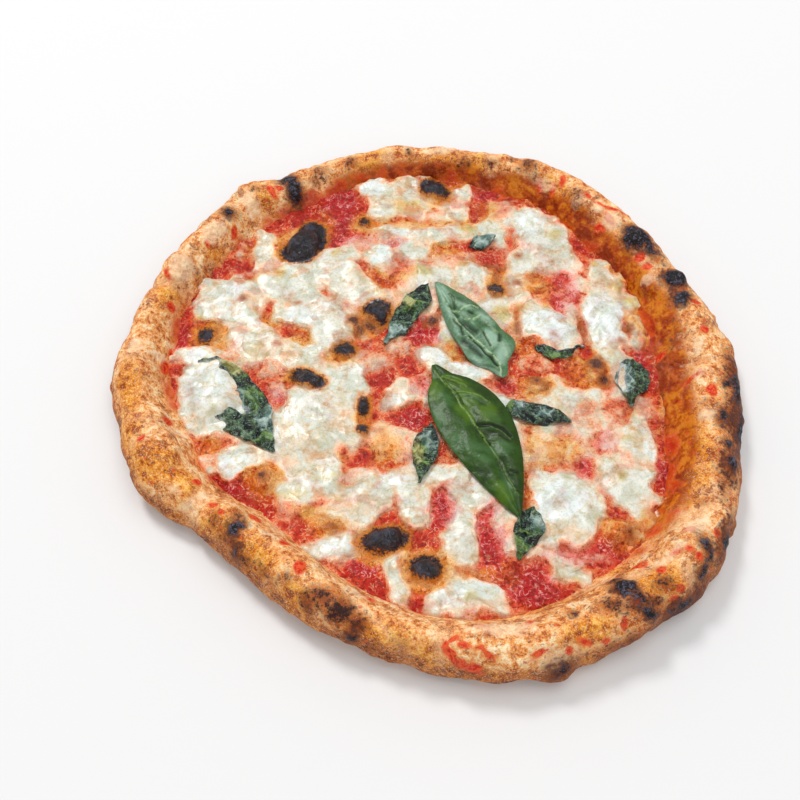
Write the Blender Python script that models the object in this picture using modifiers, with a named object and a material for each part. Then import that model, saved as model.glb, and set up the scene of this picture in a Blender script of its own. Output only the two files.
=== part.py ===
"""A whole margherita pizza, baked in a wood oven: one dough disc with a high puffed rim, a layer of tomato
sauce with scorched blisters, melted pieces of mozzarella, wilted basil leaves and two fresh ones on top.
It rests flat on the table at Z = 0, centred on the Z axis. The side that faces the viewer is at -Y."""

import math

import bmesh
import bpy
from mathutils import Matrix, Vector, noise

MM = 0.001

# The layers, from the table up. Neighbouring layers keep a small gap.
LAYER_GAP = 0.3 * MM
BASE_THICKNESS = 3.5 * MM
SAUCE_THICKNESS = 1.6 * MM
SAUCE_RAGGED = 0.9 * MM
CHEESE_THICKNESS = 2.0 * MM
LEAF_THICKNESS = 0.6 * MM
SAUCE_BOTTOM = BASE_THICKNESS + LAYER_GAP
SAUCE_TOP = SAUCE_BOTTOM + SAUCE_THICKNESS
CHEESE_BOTTOM = SAUCE_TOP + LAYER_GAP
FRESH_LEAF_BOTTOM = CHEESE_BOTTOM + CHEESE_THICKNESS + 2 * LAYER_GAP

# The rim, in millimetres, one value every 15 degrees from +X towards +Y: the outer radius, the radius
# where the rim's inner slope meets the sauce, and the height of its crest.
RIM_OUTER = (
    153, 149, 146, 151, 154, 154, 154, 154, 152, 156, 150, 149,
    153, 148, 143, 132, 134, 140, 147, 156, 159, 163, 158, 152,
)
RIM_FOOT = (
    112, 115, 119, 121, 129, 131, 134, 134, 130, 129, 128, 127,
    123, 115, 112, 104, 105, 112, 120, 125, 126, 128, 123, 115,
)
RIM_CREST = (
    21, 21, 20, 21, 20, 18, 16, 16, 17, 18, 19, 20,
    22, 25, 24, 24, 25, 24, 23, 24, 25, 25, 23, 22,
)
RIM_SEGMENTS = 144

# The rim's section. The first number runs from 0 at the pizza's centre over 1 at the foot of the slope
# to 2 at the outside. The second is 0 at the base's top, 1 at the crest and -1 at the table.
RIM_SECTION = (
    (0.0, 0.0), (1.0, 0.0), (1.05, 0.07), (1.12, 0.22), (1.21, 0.47), (1.31, 0.71), (1.43, 0.90),
    (1.56, 0.99), (1.68, 1.0), (1.79, 0.93), (1.88, 0.79), (1.95, 0.59), (1.99, 0.37), (1.99, 0.18),
    (1.95, 0.02), (1.88, -0.60), (1.80, -1.0), (0.0, -1.0),
)
TUBE_ACROSS = 1.55
TUBE_HEIGHT = 0.45
RIM_WAVE = 1.3 * MM
RIM_WAVE_LENGTH = 20 * MM
RIM_RIPPLE = 0.5 * MM
RIM_RIPPLE_LENGTH = 8 * MM

# Bubbles and bulges in the rim, in millimetres: X, Y, share of the crest's height, radius and rise.
RIM_BULGES = (
    (128, 52, 1.0, 8, 4.5), (115, 80, 1.0, 11, 4.0), (114, 52, 0.7, 9, 3.5), (60, 132, 1.0, 12, 2.0),
    (83, 109, 1.0, 12, 1.0), (-72, 118, 0.8, 9, 3.0), (-96, 121, 0.9, 15, 5.0), (-128, 64, 1.0, 14, 3.5),
    (-116, 44, 0.8, 12, 2.5), (-136, -5, 0.9, 17, 3.5), (-123, -51, 1.0, 18, 3.0), (-86, -84, 1.0, 16, 3.5),
    (-67, -95, 0.9, 12, 2.5), (-54, -107, 0.9, 14, 2.5), (-39, -125, 0.9, 17, 3.0), (-8, -136, 1.0, 13, 2.0),
    (16, -139, 0.9, 17, 2.5), (51, -147, 0.4, 10, 5.0), (48, -137, 1.0, 15, 2.5), (82, -116, 0.9, 13, 4.0),
    (88, -129, 0.9, 12, 2.5), (108, -100, 1.0, 15, 3.0), (128, -86, 1.0, 12, 2.5), (131, -54, 1.0, 13, 2.5),
    (128, -30, 0.9, 8, 3.0), (132, -8, 1.0, 9, 2.5), (149, 14, 0.6, 11, 3.5), (133, 10, 1.0, 7, 2.0),
    (-44, 134, 0.9, 13, 1.5), (-18, 149, 0.9, 14, 2.5), (9, 139, 1.0, 15, 2.0), (104, 96, 1.0, 11, 2.0),
    (-129, -66, 0.5, 14, 3.0), (126, -101, 0.5, 12, 2.5), (-146, 40, 0.5, 13, 2.5),
)

# Creases pinched into the rim: direction in degrees, half width in degrees and share of the height lost.
RIM_CREASES = (
    (173, 3.0, 0.10), (191, 3.0, 0.13), (217, 3.5, 0.20), (257, 3.0, 0.10), (307, 2.5, 0.08), (332, 3.0, 0.08),
)
CREASE_PULL = 12 * MM

# The sauce's outline.
SAUCE_SEGMENTS = 96
SAUCE_RAGGED_WAVES = 9

# Blisters that the dough pushes up through the sauce, in millimetres: X, Y, half length, half width,
# turn in degrees and height.
BLISTERS = (
    (-64, 84, 12, 9.5, 60, 7.0), (7, 124, 8, 6.5, -30, 5.0), (-32, 101, 3.5, 3, 0, 2.0),
    (-109, 24, 6, 5, 0, 3.0), (-24, 38, 7.5, 6.5, 0, 5.0), (-35, 30, 5, 6, 0, 3.0), (-40, 14, 5.5, 4.5, 0, 3.5),
    (-58, -3, 8, 5.5, -15, 4.5), (-30, -18, 3, 4, 0, 2.2), (-30, -31, 4, 4, 0, 2.5), (37, 52, 4, 4, 0, 3.0),
    (36, 67, 5, 3.5, 0, 2.0), (83, 3, 5.5, 7.5, 10, 4.0), (54, -5, 6.5, 5.5, 0, 3.0), (-20, -88, 9, 7, 15, 5.0),
    (-1, -103, 7, 6.5, 0, 5.0), (-75, -58, 7, 6, 0, 4.0), (85, -83, 6.5, 5.5, 20, 3.5), (-44, -82, 4, 3, 0, 2.0),
    (-62, 22, 5, 4, 0, 2.2), (107, 31, 6, 7.5, 0, 2.8), (36, -103, 4.5, 4, 0, 2.2),
)
BLISTER_SIDES = 10
BLISTER_RINGS = 6
BLISTER_ROOM_SIDES = 16
BLISTER_ROOM = 1.04
BLISTER_HEADROOM = 3 * MM
BLISTER_CLEARANCE = 0.5 * MM

# The pieces of mozzarella, in millimetres: X, Y, then how far the piece reaches in eight directions,
# every 45 degrees from +X towards +Y, and its thickness as a share of the usual one.
MOZZARELLA = (
    ((-21, 122), (19, 16, 12, 14, 16, 13, 15, 17), 1.0),
    ((2, 94), (25, 10, 6, 9, 24, 8, 5, 9), 1.0),
    ((21, 109), (8, 7, 8, 6, 8, 7, 6, 6), 0.8),
    ((-100, 46), (17, 18, 15, 14, 17, 15, 11, 13), 1.1),
    ((-73, 61), (17, 11, 11, 13, 17, 13, 10, 13), 1.0),
    ((-43, 67), (14, 13, 16, 15, 14, 14, 15, 14), 1.0),
    ((-20, 77), (9, 8, 8, 8, 9, 8, 8, 9), 1.2),
    ((-60, 40), (19, 14, 10, 11, 19, 11, 10, 14), 1.1),
    ((-77, 17), (18, 12, 11, 12, 14, 8, 10, 13), 1.0),
    ((-52, 12), (6, 8, 9, 7, 7, 7, 8, 8), 1.0),
    ((-2, 66), (24, 12, 9, 10, 14, 12, 9, 10), 0.9),
    ((-51, -24), (19, 18, 18, 14, 18, 21, 22, 22), 1.1),
    ((-50, -59), (18, 12, 11, 13, 15, 12, 10, 12), 1.0),
    ((-28, -69), (12, 13, 13, 10, 13, 9, 10, 8), 1.0),
    ((-6, -71), (8, 8, 14, 10, 7, 9, 12, 9), 1.2),
    ((-14, -44), (7, 8, 10, 9, 10, 8, 8, 6), 0.9),
    ((-14, -10), (9, 9, 10, 8, 7, 8, 8, 8), 1.0),
    ((8, 8), (17, 8, 8, 8, 11, 7, 8, 13), 1.1),
    ((33, -14), (7, 11, 12, 13, 9, 12, 15, 14), 1.0),
    ((16, -61), (14, 10, 12, 11, 11, 8, 10, 19), 1.2),
    ((15, -87), (7, 8, 13, 10, 8, 8, 12, 9), 1.2),
    ((33, -80), (4, 5, 7, 5, 4, 4, 7, 4), 0.8),
    ((-105, -10), (18, 17, 16, 13, 18, 15, 18, 18), 2.1),
    ((-114, 13), (8, 6, 6, 6, 7, 6, 6, 7), 1.0),
    ((-94, -33), (12, 9, 8, 9, 11, 9, 6, 9), 1.0),
    ((-90, -49), (11, 10, 8, 9, 11, 10, 10, 9), 1.5),
    ((63, 92), (22, 15, 18, 14, 14, 15, 21, 17), 1.1),
    ((87, 70), (16, 10, 8, 9, 11, 9, 11, 17), 1.0),
    ((91, 34), (11, 12, 17, 14, 12, 11, 20, 12), 1.5),
    ((60, 28), (16, 14, 14, 12, 13, 11, 13, 14), 1.5),
    ((72, -16), (15, 9, 8, 9, 11, 8, 10, 11), 1.0),
    ((96, -37), (14, 13, 12, 11, 12, 12, 12, 12), 1.2),
    ((93, -62), (17, 14, 12, 12, 15, 11, 12, 14), 1.1),
    ((62, -74), (14, 16, 18, 16, 12, 11, 17, 17), 1.5),
    ((54, -98), (13, 6, 5, 6, 10, 5, 4, 6), 0.9),
    ((22, 67), (9, 9, 9, 8, 9, 9, 8, 9), 0.9),
    ((48, 53), (8, 9, 11, 8, 6, 8, 8, 8), 0.9),
    ((54, -35), (8, 8, 8, 7, 8, 8, 10, 8), 0.8),
    ((-39, -92), (7, 6, 5, 6, 8, 6, 5, 6), 1.1),
    ((-14, -108), (5, 6, 10, 7, 5, 6, 10, 8), 1.2),
    ((16, -113), (20, 9, 7, 8, 16, 12, 5, 7), 1.3),
)
POOL_GAP = 0.8 * MM
POOL_TO_RIM = 1.5 * MM
POOL_SIDES = 14
POOL_RINGS = 6
POOL_LIP = 0.6
POOL_REACH = 30 * MM
POOL_REACH_STEP = 0.5 * MM
POOL_LEAST_SLANT = 0.2

# Basil that went into the oven, in millimetres: X and Y of its base and of its tip, half width, and how
# high its crinkles stand. The last entry says whether mozzarella has run over it.
WILTED_BASIL = (
    ("basil_left", (-112, 8), (-71, -43), 16, 1.0, True),
    ("basil_centre_back", (3, 56), (-21, 17), 7, 1.3, False),
    ("basil_centre", (2, -28), (-4, -61), 6, 1.3, False),
    ("basil_right_of_centre", (37, -19), (70, -27), 6.5, 1.3, False),
    ("basil_under_cheese", (55, 18), (80, 19), 9, 0.9, True),
    ("basil_right", (103, 9), (98, -18), 8.5, 1.3, False),
    ("basil_front", (48, -72), (40, -97), 7, 1.3, False),
    ("basil_back", (25, 84), (38, 88), 4, 0.9, True),
)
LEAF_TAPER = 0.72
LEAF_FULLNESS = 0.85
LEAF_END = 0.5 * MM
COVERED_CUT = 1.9 * MM
OPEN_CUT = 10 * MM
LEAF_CLEARANCE = 0.9 * MM
LEAF_ROOM_SEGMENTS = 28
WILTED_STEPS = (9, 4)
CRINKLES_ALONG = 11
CRINKLES_ACROSS = 2.6
CRINKLE_SLANT = 2

# Fresh basil laid on after baking: base, tip, half width, how far the midrib bows to one side, the crown
# of each half blade and the rise of the middle.
FRESH_BASIL = (
    ("fresh_basil_large", (6, 1), (41, -78), 17.5, -3.5, 2.2, 1.5),
    ("fresh_basil_small", (36, 2), (6, 58), 12.5, -2.0, 2.0, 1.2),
)
FRESH_STEPS = (12, 8)

# Finishes: colour, roughness.
CRUST = ((0.62, 0.33, 0.12), 0.75)
TOMATO = ((0.55, 0.06, 0.02), 0.35)
CHEESE = ((0.88, 0.82, 0.68), 0.40)
DARK_GREEN = ((0.04, 0.07, 0.03), 0.45)
FRESH_GREEN = ((0.08, 0.20, 0.04), 0.35)


def clear_scene():
    for obj in list(bpy.data.objects):
        bpy.data.objects.remove(obj)


def new_collection(name):
    made = bpy.data.collections.new(name)
    bpy.context.scene.collection.children.link(made)
    return made


def material(name, finish):
    colour, roughness = finish
    made = bpy.data.materials.new(name)
    made.use_nodes = True
    shader = made.node_tree.nodes["Principled BSDF"]
    shader.inputs["Base Color"].default_value = (*colour, 1.0)
    shader.inputs["Roughness"].default_value = roughness
    return made


def add_object(name, bm, collection, finish=None):
    """Puts a finished bmesh into the scene as one object."""
    bmesh.ops.recalc_face_normals(bm, faces=bm.faces)
    mesh = bpy.data.meshes.new(name)
    bm.to_mesh(mesh)
    bm.free()
    mesh.shade_smooth()
    obj = bpy.data.objects.new(name, mesh)
    if finish is not None:
        mesh.materials.append(finish)
    collection.objects.link(obj)
    return obj


def add_cutter(name, bm, collection):
    obj = add_object(name, bm, collection)
    obj.hide_render = True
    obj.display_type = "WIRE"
    return obj


def smooth_step(value):
    share = min(1.0, max(0.0, value))
    return share * share * (3 - 2 * share)


def around(values, turn):
    """A smooth value between ones that are evenly spaced round a full turn of 360 degrees."""
    place = (turn % 360.0) / 360.0 * len(values)
    index = int(place)
    t = place - index
    before, low, high, after = (values[(index + k) % len(values)] for k in (-1, 0, 1, 2))
    bend = 2 * before - 5 * low + 4 * high - after + t * (3 * (low - high) + after - before)
    return low + 0.5 * t * (high - before + t * bend)


def crease(turn):
    """How much of the rim's height a pinch leaves at this direction."""
    left = 1.0
    for direction, half_width, depth in RIM_CREASES:
        off = (turn - direction + 180) % 360 - 180
        left -= depth * math.exp(-((off / half_width) ** 2))
    return left


def rim_at(turn):
    """Outer radius, foot radius and crest height of the rim at one direction, in metres."""
    outer, foot, crest = (around(values, turn) * MM for values in (RIM_OUTER, RIM_FOOT, RIM_CREST))
    return outer - (1 - crease(turn)) * CREASE_PULL, foot, crest * crease(turn)


def bulge_height(place, crest):
    """How far the rim's bubbles push its skin out at one point."""
    height = 0.0
    for x, y, level, radius, rise in RIM_BULGES:
        centre = Vector((x * MM, y * MM, level * crest))
        away = (place - centre).length / (radius * MM)
        height += rise * MM * smooth_step(1 - away)
    return height


def place_on_rim(vertex):
    """Moves a vertex of the spun section to its true place."""
    across = math.hypot(vertex.co.x, vertex.co.y)
    turn = math.degrees(math.atan2(vertex.co.y, vertex.co.x))
    level = vertex.co.z
    outer, foot, crest = rim_at(turn)
    radius = foot * across if across <= 1 else foot + (across - 1) * (outer - foot)
    height = BASE_THICKNESS * (1 + level) if level < 0 else BASE_THICKNESS + level * (crest - BASE_THICKNESS)
    direction = Vector((math.cos(math.radians(turn)), math.sin(math.radians(turn)), 0))
    place = direction * radius + Vector((0, 0, height))
    if across > 1 and level > -1:
        tube = direction * (foot + (TUBE_ACROSS - 1) * (outer - foot)) + Vector((0, 0, TUBE_HEIGHT * crest))
        outward = (place - tube).normalized()
        share = smooth_step((across - 1.05) / 0.3) * smooth_step(level + 1)
        push = RIM_WAVE * noise.noise(place / RIM_WAVE_LENGTH)
        push += RIM_RIPPLE * noise.noise(place / RIM_RIPPLE_LENGTH)
        push += bulge_height(place, crest)
        place += outward * push * share
    vertex.co = place


def build_dough(collection):
    """The baked dough: a section spun round the axis, then moved to the uneven rim."""
    bm = bmesh.new()
    points = [bm.verts.new((across, 0, level)) for across, level in RIM_SECTION]
    edges = [bm.edges.new(pair) for pair in zip(points, points[1:])]
    bmesh.ops.spin(
        bm, geom=points + edges, cent=(0, 0, 0), axis=(0, 0, 1), angle=math.tau,
        steps=RIM_SEGMENTS, use_merge=True,
    )
    bmesh.ops.remove_doubles(bm, verts=bm.verts, dist=1e-6)
    for vertex in bm.verts:
        place_on_rim(vertex)
    return add_object("dough", bm, collection, material("baked_dough", CRUST))


def ellipse_matrix(x, y, z, half_length, half_width, turn, height):
    turned = Matrix.Rotation(math.radians(turn), 4, "Z")
    return Matrix.Translation((x, y, z)) @ turned @ Matrix.Diagonal((half_length, half_width, height, 1))


def build_blister_domes(collection):
    """One low dome for each blister, flat below so that it stays inside the sauce."""
    for number, (x, y, half_length, half_width, turn, height) in enumerate(BLISTERS):
        bm = bmesh.new()
        bmesh.ops.create_uvsphere(bm, u_segments=BLISTER_SIDES, v_segments=BLISTER_RINGS, radius=1)
        size = (half_length * MM, half_width * MM, turn, height * MM)
        bmesh.ops.transform(bm, verts=bm.verts, matrix=ellipse_matrix(x * MM, y * MM, SAUCE_TOP, *size))
        for vertex in bm.verts:
            vertex.co.z = max(vertex.co.z, SAUCE_TOP - SAUCE_THICKNESS / 2)
        add_cutter(f"blister_dome_{number:02d}", bm, collection)


def build_sauce(collection, domes):
    """The layer of sauce, out to an uneven edge on the foot of the rim, with its blisters fused on."""
    bm = bmesh.new()
    bmesh.ops.create_circle(bm, cap_ends=True, segments=SAUCE_SEGMENTS, radius=1)
    for vertex in bm.verts:
        turn = math.degrees(math.atan2(vertex.co.y, vertex.co.x))
        foot = rim_at(turn)[1]
        ragged = SAUCE_RAGGED * (1 + noise.noise(vertex.co * SAUCE_RAGGED_WAVES))
        vertex.co = vertex.co.normalized() * (foot - LAYER_GAP - ragged)
        vertex.co.z = SAUCE_BOTTOM
    risen = bmesh.ops.extrude_face_region(bm, geom=list(bm.faces))["geom"]
    lifted = [item for item in risen if isinstance(item, bmesh.types.BMVert)]
    bmesh.ops.translate(bm, verts=lifted, vec=(0, 0, SAUCE_THICKNESS))
    sauce = add_object("tomato_sauce", bm, collection, material("tomato_sauce", TOMATO))
    join = sauce.modifiers.new("Blisters", "BOOLEAN")
    join.operation = "UNION"
    join.operand_type = "COLLECTION"
    join.collection = domes
    return sauce


def leaf_half_width(share, half_width, least):
    """Half the width of a basil leaf, broad near its base and drawn out to a tip."""
    return max(least, half_width * math.sin(math.pi * share ** LEAF_TAPER) ** LEAF_FULLNESS)


def leaf_point(base, tip, half_width, along, across, least=LEAF_END, bow=0):
    """A point of a flat leaf: along runs from 0 at the base to 1 at the tip, across from -1 to 1."""
    start, end = Vector(base) * MM, Vector(tip) * MM
    side = Vector((end.y - start.y, start.x - end.x)).normalized()
    middle = start.lerp(end, along) + side * bow * MM * math.sin(math.pi * along)
    return middle + side * across * leaf_half_width(along, half_width * MM, least)


def leaf_outline_cutter(name, base, tip, half_width, height, collection):
    """A prism a little larger than a wilted leaf, which keeps the mozzarella clear of it."""
    bm = bmesh.new()
    bmesh.ops.create_circle(bm, cap_ends=True, segments=LEAF_ROOM_SEGMENTS, radius=1)
    start, end = Vector(base), Vector(tip)
    beyond = (end - start).normalized() * LEAF_CLEARANCE / MM
    wide = half_width + LEAF_CLEARANCE / MM
    for vertex in bm.verts:
        along = (1 - vertex.co.x) / 2
        side = math.copysign(1, vertex.co.y)
        point = leaf_point(start - beyond, end + beyond, wide, along, side, LEAF_END + LEAF_CLEARANCE)
        vertex.co = (point.x, point.y, SAUCE_TOP)
    risen = bmesh.ops.extrude_face_region(bm, geom=list(bm.faces))["geom"]
    lifted = [item for item in risen if isinstance(item, bmesh.types.BMVert)]
    bmesh.ops.translate(bm, verts=lifted, vec=(0, 0, height))
    add_cutter(name, bm, collection)


def build_clearance_cutters(collection):
    """What the mozzarella has to leave free: the blisters and the wilted leaves."""
    for number, (x, y, half_length, half_width, turn, height) in enumerate(BLISTERS):
        bm = bmesh.new()
        bmesh.ops.create_cone(
            bm, cap_ends=True, segments=BLISTER_ROOM_SIDES, radius1=1, radius2=1, depth=2,
        )
        size = [BLISTER_ROOM * side * MM + BLISTER_CLEARANCE for side in (half_length, half_width)]
        reach = height * MM + BLISTER_HEADROOM
        room = ellipse_matrix(x * MM, y * MM, SAUCE_TOP, *size, turn, reach)
        bmesh.ops.transform(bm, verts=bm.verts, matrix=room)
        add_cutter(f"blister_room_{number:02d}", bm, collection)
    for name, base, tip, half_width, _, covered in WILTED_BASIL:
        height = COVERED_CUT + LAYER_GAP if covered else OPEN_CUT
        leaf_outline_cutter(f"{name}_room", base, tip, half_width, height, collection)


def reach_to_rim(centre, turn):
    """How far a piece of mozzarella may reach in one direction before it would touch the rim."""
    direction = Vector((math.cos(math.radians(turn)), math.sin(math.radians(turn))))
    reach = POOL_REACH
    while reach > 0:
        point = centre + direction * reach
        if point.length < rim_at(math.degrees(math.atan2(point.y, point.x)))[1] - POOL_TO_RIM:
            return reach
        reach -= POOL_REACH_STEP
    return reach


def pool_outlines():
    """The outline of each piece of mozzarella, drawn in wherever it would run into a neighbour."""
    turns = [360.0 / POOL_SIDES * side for side in range(POOL_SIDES)]
    reaches = [[around(reach, turn) * MM for turn in turns] for _, reach, _ in MOZZARELLA]
    centres = [Vector(centre) * MM for centre, _, _ in MOZZARELLA]
    for one in range(len(centres)):
        for other in range(len(centres)):
            apart = centres[other] - centres[one]
            if one == other or apart.length > 2 * POOL_REACH:
                continue
            towards = math.degrees(math.atan2(apart.y, apart.x))
            mine = around(MOZZARELLA[one][1], towards)
            theirs = around(MOZZARELLA[other][1], towards + 180)
            border = apart.length * mine / (mine + theirs) - POOL_GAP / 2
            for side, turn in enumerate(turns):
                slant = math.cos(math.radians(turn - towards))
                if slant > POOL_LEAST_SLANT:
                    reaches[one][side] = min(reaches[one][side], border / slant)
    for centre, reach in zip(centres, reaches):
        for side, turn in enumerate(turns):
            reach[side] = min(reach[side], reach_to_rim(centre, turn))
    return list(zip(centres, reaches))


def build_mozzarella(collection, cutters):
    """Each piece of mozzarella: half a sphere flattened into a low pool with a round lip."""
    finish = material("mozzarella", CHEESE)
    for number, (centre, reaches) in enumerate(pool_outlines()):
        thickness = CHEESE_THICKNESS * MOZZARELLA[number][2]
        bm = bmesh.new()
        bmesh.ops.create_uvsphere(bm, u_segments=POOL_SIDES, v_segments=POOL_RINGS, radius=1)
        lower = [vertex for vertex in bm.verts if vertex.co.z < -0.01]
        bmesh.ops.delete(bm, geom=lower, context="VERTS")
        bmesh.ops.edgenet_fill(bm, edges=[edge for edge in bm.edges if edge.is_boundary])
        for vertex in bm.verts:
            turn = math.degrees(math.atan2(vertex.co.y, vertex.co.x))
            reach = around(reaches, turn)
            height = max(0.0, vertex.co.z) ** POOL_LIP * thickness
            vertex.co = Vector((
                centre.x + vertex.co.x * reach, centre.y + vertex.co.y * reach, CHEESE_BOTTOM + height,
            ))
        pool = add_object(f"mozzarella_{number + 1:02d}", bm, collection, finish)
        room = pool.modifiers.new("Room", "BOOLEAN")
        room.operation = "DIFFERENCE"
        room.operand_type = "COLLECTION"
        room.collection = cutters


def leaf_sheet(base, tip, half_width, steps, rise, bow=0):
    """A leaf's blade as an open sheet of quads, whose height at each point comes from rise(along, across)."""
    bm = bmesh.new()
    bmesh.ops.create_grid(bm, x_segments=steps[0], y_segments=steps[1], size=1)
    for vertex in bm.verts:
        along, across = (vertex.co.x + 1) / 2, vertex.co.y
        point = leaf_point(base, tip, half_width, along, across, bow=bow)
        vertex.co = (point.x, point.y, rise(along, across))
    return bm


def add_leaf(name, bm, collection, finish):
    """Gives a blade its thickness, upwards from the sheet."""
    leaf = add_object(name, bm, collection, finish)
    if leaf.data.polygons[0].normal.z < 0:
        leaf.data.flip_normals()
    solid = leaf.modifiers.new("Blade", "SOLIDIFY")
    solid.thickness = LEAF_THICKNESS
    solid.offset = 1
    return leaf


def build_wilted_basil(collection):
    """Leaves that the oven has crinkled, lying on the sauce."""
    finish = material("wilted_basil", DARK_GREEN)
    for name, base, tip, half_width, crinkle, _ in WILTED_BASIL:

        def rise(along, across, crinkle=crinkle, base=base):
            waves = math.sin(along * CRINKLES_ALONG + across * CRINKLE_SLANT + base[0])
            waves *= math.cos(across * CRINKLES_ACROSS + base[1])
            return CHEESE_BOTTOM + crinkle * MM * (0.5 + 0.5 * waves)

        sheet = leaf_sheet(base, tip, half_width, WILTED_STEPS, rise)
        add_leaf(name, sheet, collection, finish)


def build_fresh_basil(collection):
    """Fresh leaves on top: each half of the blade is crowned, with the midrib in a groove between them."""
    finish = material("fresh_basil", FRESH_GREEN)
    for name, base, tip, half_width, bow, crown, arch in FRESH_BASIL:

        def rise(along, across, crown=crown, arch=arch):
            blade = crown * math.sin(math.pi * abs(across) ** 0.8) * math.sin(math.pi * along) ** 0.5
            return FRESH_LEAF_BOTTOM + MM * (max(0, blade) + arch * math.sin(math.pi * along))

        sheet = leaf_sheet(base, tip, half_width, FRESH_STEPS, rise, bow)
        add_leaf(name, sheet, collection, finish)


def main():
    clear_scene()
    pizza = new_collection("margherita_pizza")
    domes = new_collection("blister_domes")
    room = new_collection("room_cutters")
    build_dough(pizza)
    build_blister_domes(domes)
    build_sauce(pizza, domes)
    build_clearance_cutters(room)
    build_mozzarella(pizza, room)
    build_wilted_basil(pizza)
    build_fresh_basil(pizza)


main()
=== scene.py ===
"""The looks of a margherita pizza: baked crust, tomato sauce, melted mozzarella, wilted and fresh basil."""

import math

import bmesh
import bpy
import numpy as np
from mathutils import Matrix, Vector, noise
from mathutils.bvhtree import BVHTree


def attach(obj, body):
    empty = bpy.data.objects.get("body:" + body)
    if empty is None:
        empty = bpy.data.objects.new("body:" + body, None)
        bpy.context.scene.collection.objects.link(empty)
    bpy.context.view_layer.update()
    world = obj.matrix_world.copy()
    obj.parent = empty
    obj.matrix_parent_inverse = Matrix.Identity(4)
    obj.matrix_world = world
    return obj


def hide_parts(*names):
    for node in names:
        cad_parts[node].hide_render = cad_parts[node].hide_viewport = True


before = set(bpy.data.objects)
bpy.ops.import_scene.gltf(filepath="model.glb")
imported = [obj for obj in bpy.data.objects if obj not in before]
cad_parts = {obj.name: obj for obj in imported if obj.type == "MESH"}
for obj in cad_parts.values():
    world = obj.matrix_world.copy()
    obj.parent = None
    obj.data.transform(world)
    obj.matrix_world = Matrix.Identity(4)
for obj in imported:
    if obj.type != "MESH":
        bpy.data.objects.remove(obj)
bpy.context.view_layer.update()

MM = 0.001

# The camera: it looks down on the pizza from the front, at 57 degrees above the table. Places on the
# pizza that are given below as seen from it lie on a plane 6 mm above the table.
CAMERA_PLACE = Vector((-0.0124, -0.2737, 0.4064))
CAMERA_TILT = math.radians(90 - 57)
FIELD_OF_VIEW = math.radians(44)
SENSOR_WIDTH = 36
SEEN_PLANE = 6 * MM

camera_data = bpy.data.cameras.new("camera")
camera_data.sensor_width = SENSOR_WIDTH
camera_data.lens = SENSOR_WIDTH / 2 / math.tan(FIELD_OF_VIEW / 2)
camera = bpy.data.objects.new("camera", camera_data)
camera.location = CAMERA_PLACE
camera.rotation_euler = (CAMERA_TILT, 0, 0)
bpy.context.scene.collection.objects.link(camera)
bpy.context.scene.camera = camera

# The table top: a wide pale disc, lit by an even pale sky, a soft lamp behind on the left, a wide one
# overhead and a weaker one in front, so that the shadows stay light.
TABLE_RADIUS = 4.0
TABLE_SIDES = 96
TABLE_WHITE = 0.8
TABLE_ROUGHNESS = 0.9
TABLE_SHINE = 0.1
SKY_STRENGTH = 0.58
LAMPS = (
    ("key_lamp", (-1.1, 1.7, 2.8), 0.8, 52.0),
    ("high_lamp", (0.7, 0.4, 3.3), 2.4, 28.0),
    ("front_lamp", (0.9, -2.4, 2.4), 2.0, 10.0),
)

bm = bmesh.new()
bmesh.ops.create_circle(bm, cap_ends=True, segments=TABLE_SIDES, radius=TABLE_RADIUS)
table_mesh = bpy.data.meshes.new("table_top")
bm.to_mesh(table_mesh)
bm.free()
table_top = bpy.data.objects.new("table_top", table_mesh)
bpy.context.scene.collection.objects.link(table_top)
table_finish = bpy.data.materials.new("table_top")
table_finish.use_nodes = True
table_shader = table_finish.node_tree.nodes["Principled BSDF"]
table_shader.inputs["Base Color"].default_value = (TABLE_WHITE, TABLE_WHITE, TABLE_WHITE, 1)
table_shader.inputs["Roughness"].default_value = TABLE_ROUGHNESS
table_shader.inputs["Specular IOR Level"].default_value = TABLE_SHINE
table_mesh.materials.append(table_finish)

sky = bpy.data.worlds.new("pale_sky")
sky.use_nodes = True
sky.node_tree.nodes["Background"].inputs["Color"].default_value = (1, 1, 1, 1)
sky.node_tree.nodes["Background"].inputs["Strength"].default_value = SKY_STRENGTH
bpy.context.scene.world = sky
bpy.context.scene.view_settings.view_transform = "Standard"

for name, place, size, power in LAMPS:
    lamp = bpy.data.lights.new(name, "AREA")
    lamp.shape = "DISK"
    lamp.size = size
    lamp.energy = power
    lamp_object = bpy.data.objects.new(name, lamp)
    lamp_object.location = place
    lamp_object.rotation_euler = Vector(place).to_track_quat("Z", "Y").to_euler()
    bpy.context.scene.collection.objects.link(lamp_object)


# The crust: one piece of dough, stretched thin in the middle, whose rim has puffed up in the oven.
# It is golden with brown freckles, black on the bubbles that caught the flame, and soaked with
# orange oil on its inner slope. It is made from the dough's solid, with finer swellings pushed out.

# Spots are ovals: X and Y as seen, half length, half width and, where it isn't 0, turn in degrees.
RIM_CHAR = (
    (-72, 127, 9, 3.2, 100), (-75, 135, 4, 2.6), (-107, 110, 2.8, 2.2, -20), (115, 91, 6.5, 5, -25),
    (121, 86, 7, 2.4, -60), (114, 96, 4, 2.5, -30), (132, 63, 6, 4.5, -15), (136, 64, 2.5, 2.5),
    (134, 50, 3.6, 4.2), (147, -4, 2, 2), (141, -23, 1.8, 3.2), (151, -6, 9, 2, 84), (148, -30, 10, 2, 76),
    (142, -48, 3, 3), (142, -38, 2, 2), (123, -92, 4, 1.8, 100), (131, -88, 5, 1.2, 62),
    (120, -102, 3, 1.4, 50), (108, -118, 6, 1.2, 35), (85, -109, 6, 2.8, -35), (91, -114, 4, 1.6, -40),
    (94, -121, 4.4, 2.2, -25), (80, -106, 1.8, 1.4), (54, -146, 3.2, 1.6, 15), (-86, -81, 2.8, 3, -30),
    (-84, -93, 1.6, 1.6), (-32, -131, 2, 1.6, 20),
)
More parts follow.
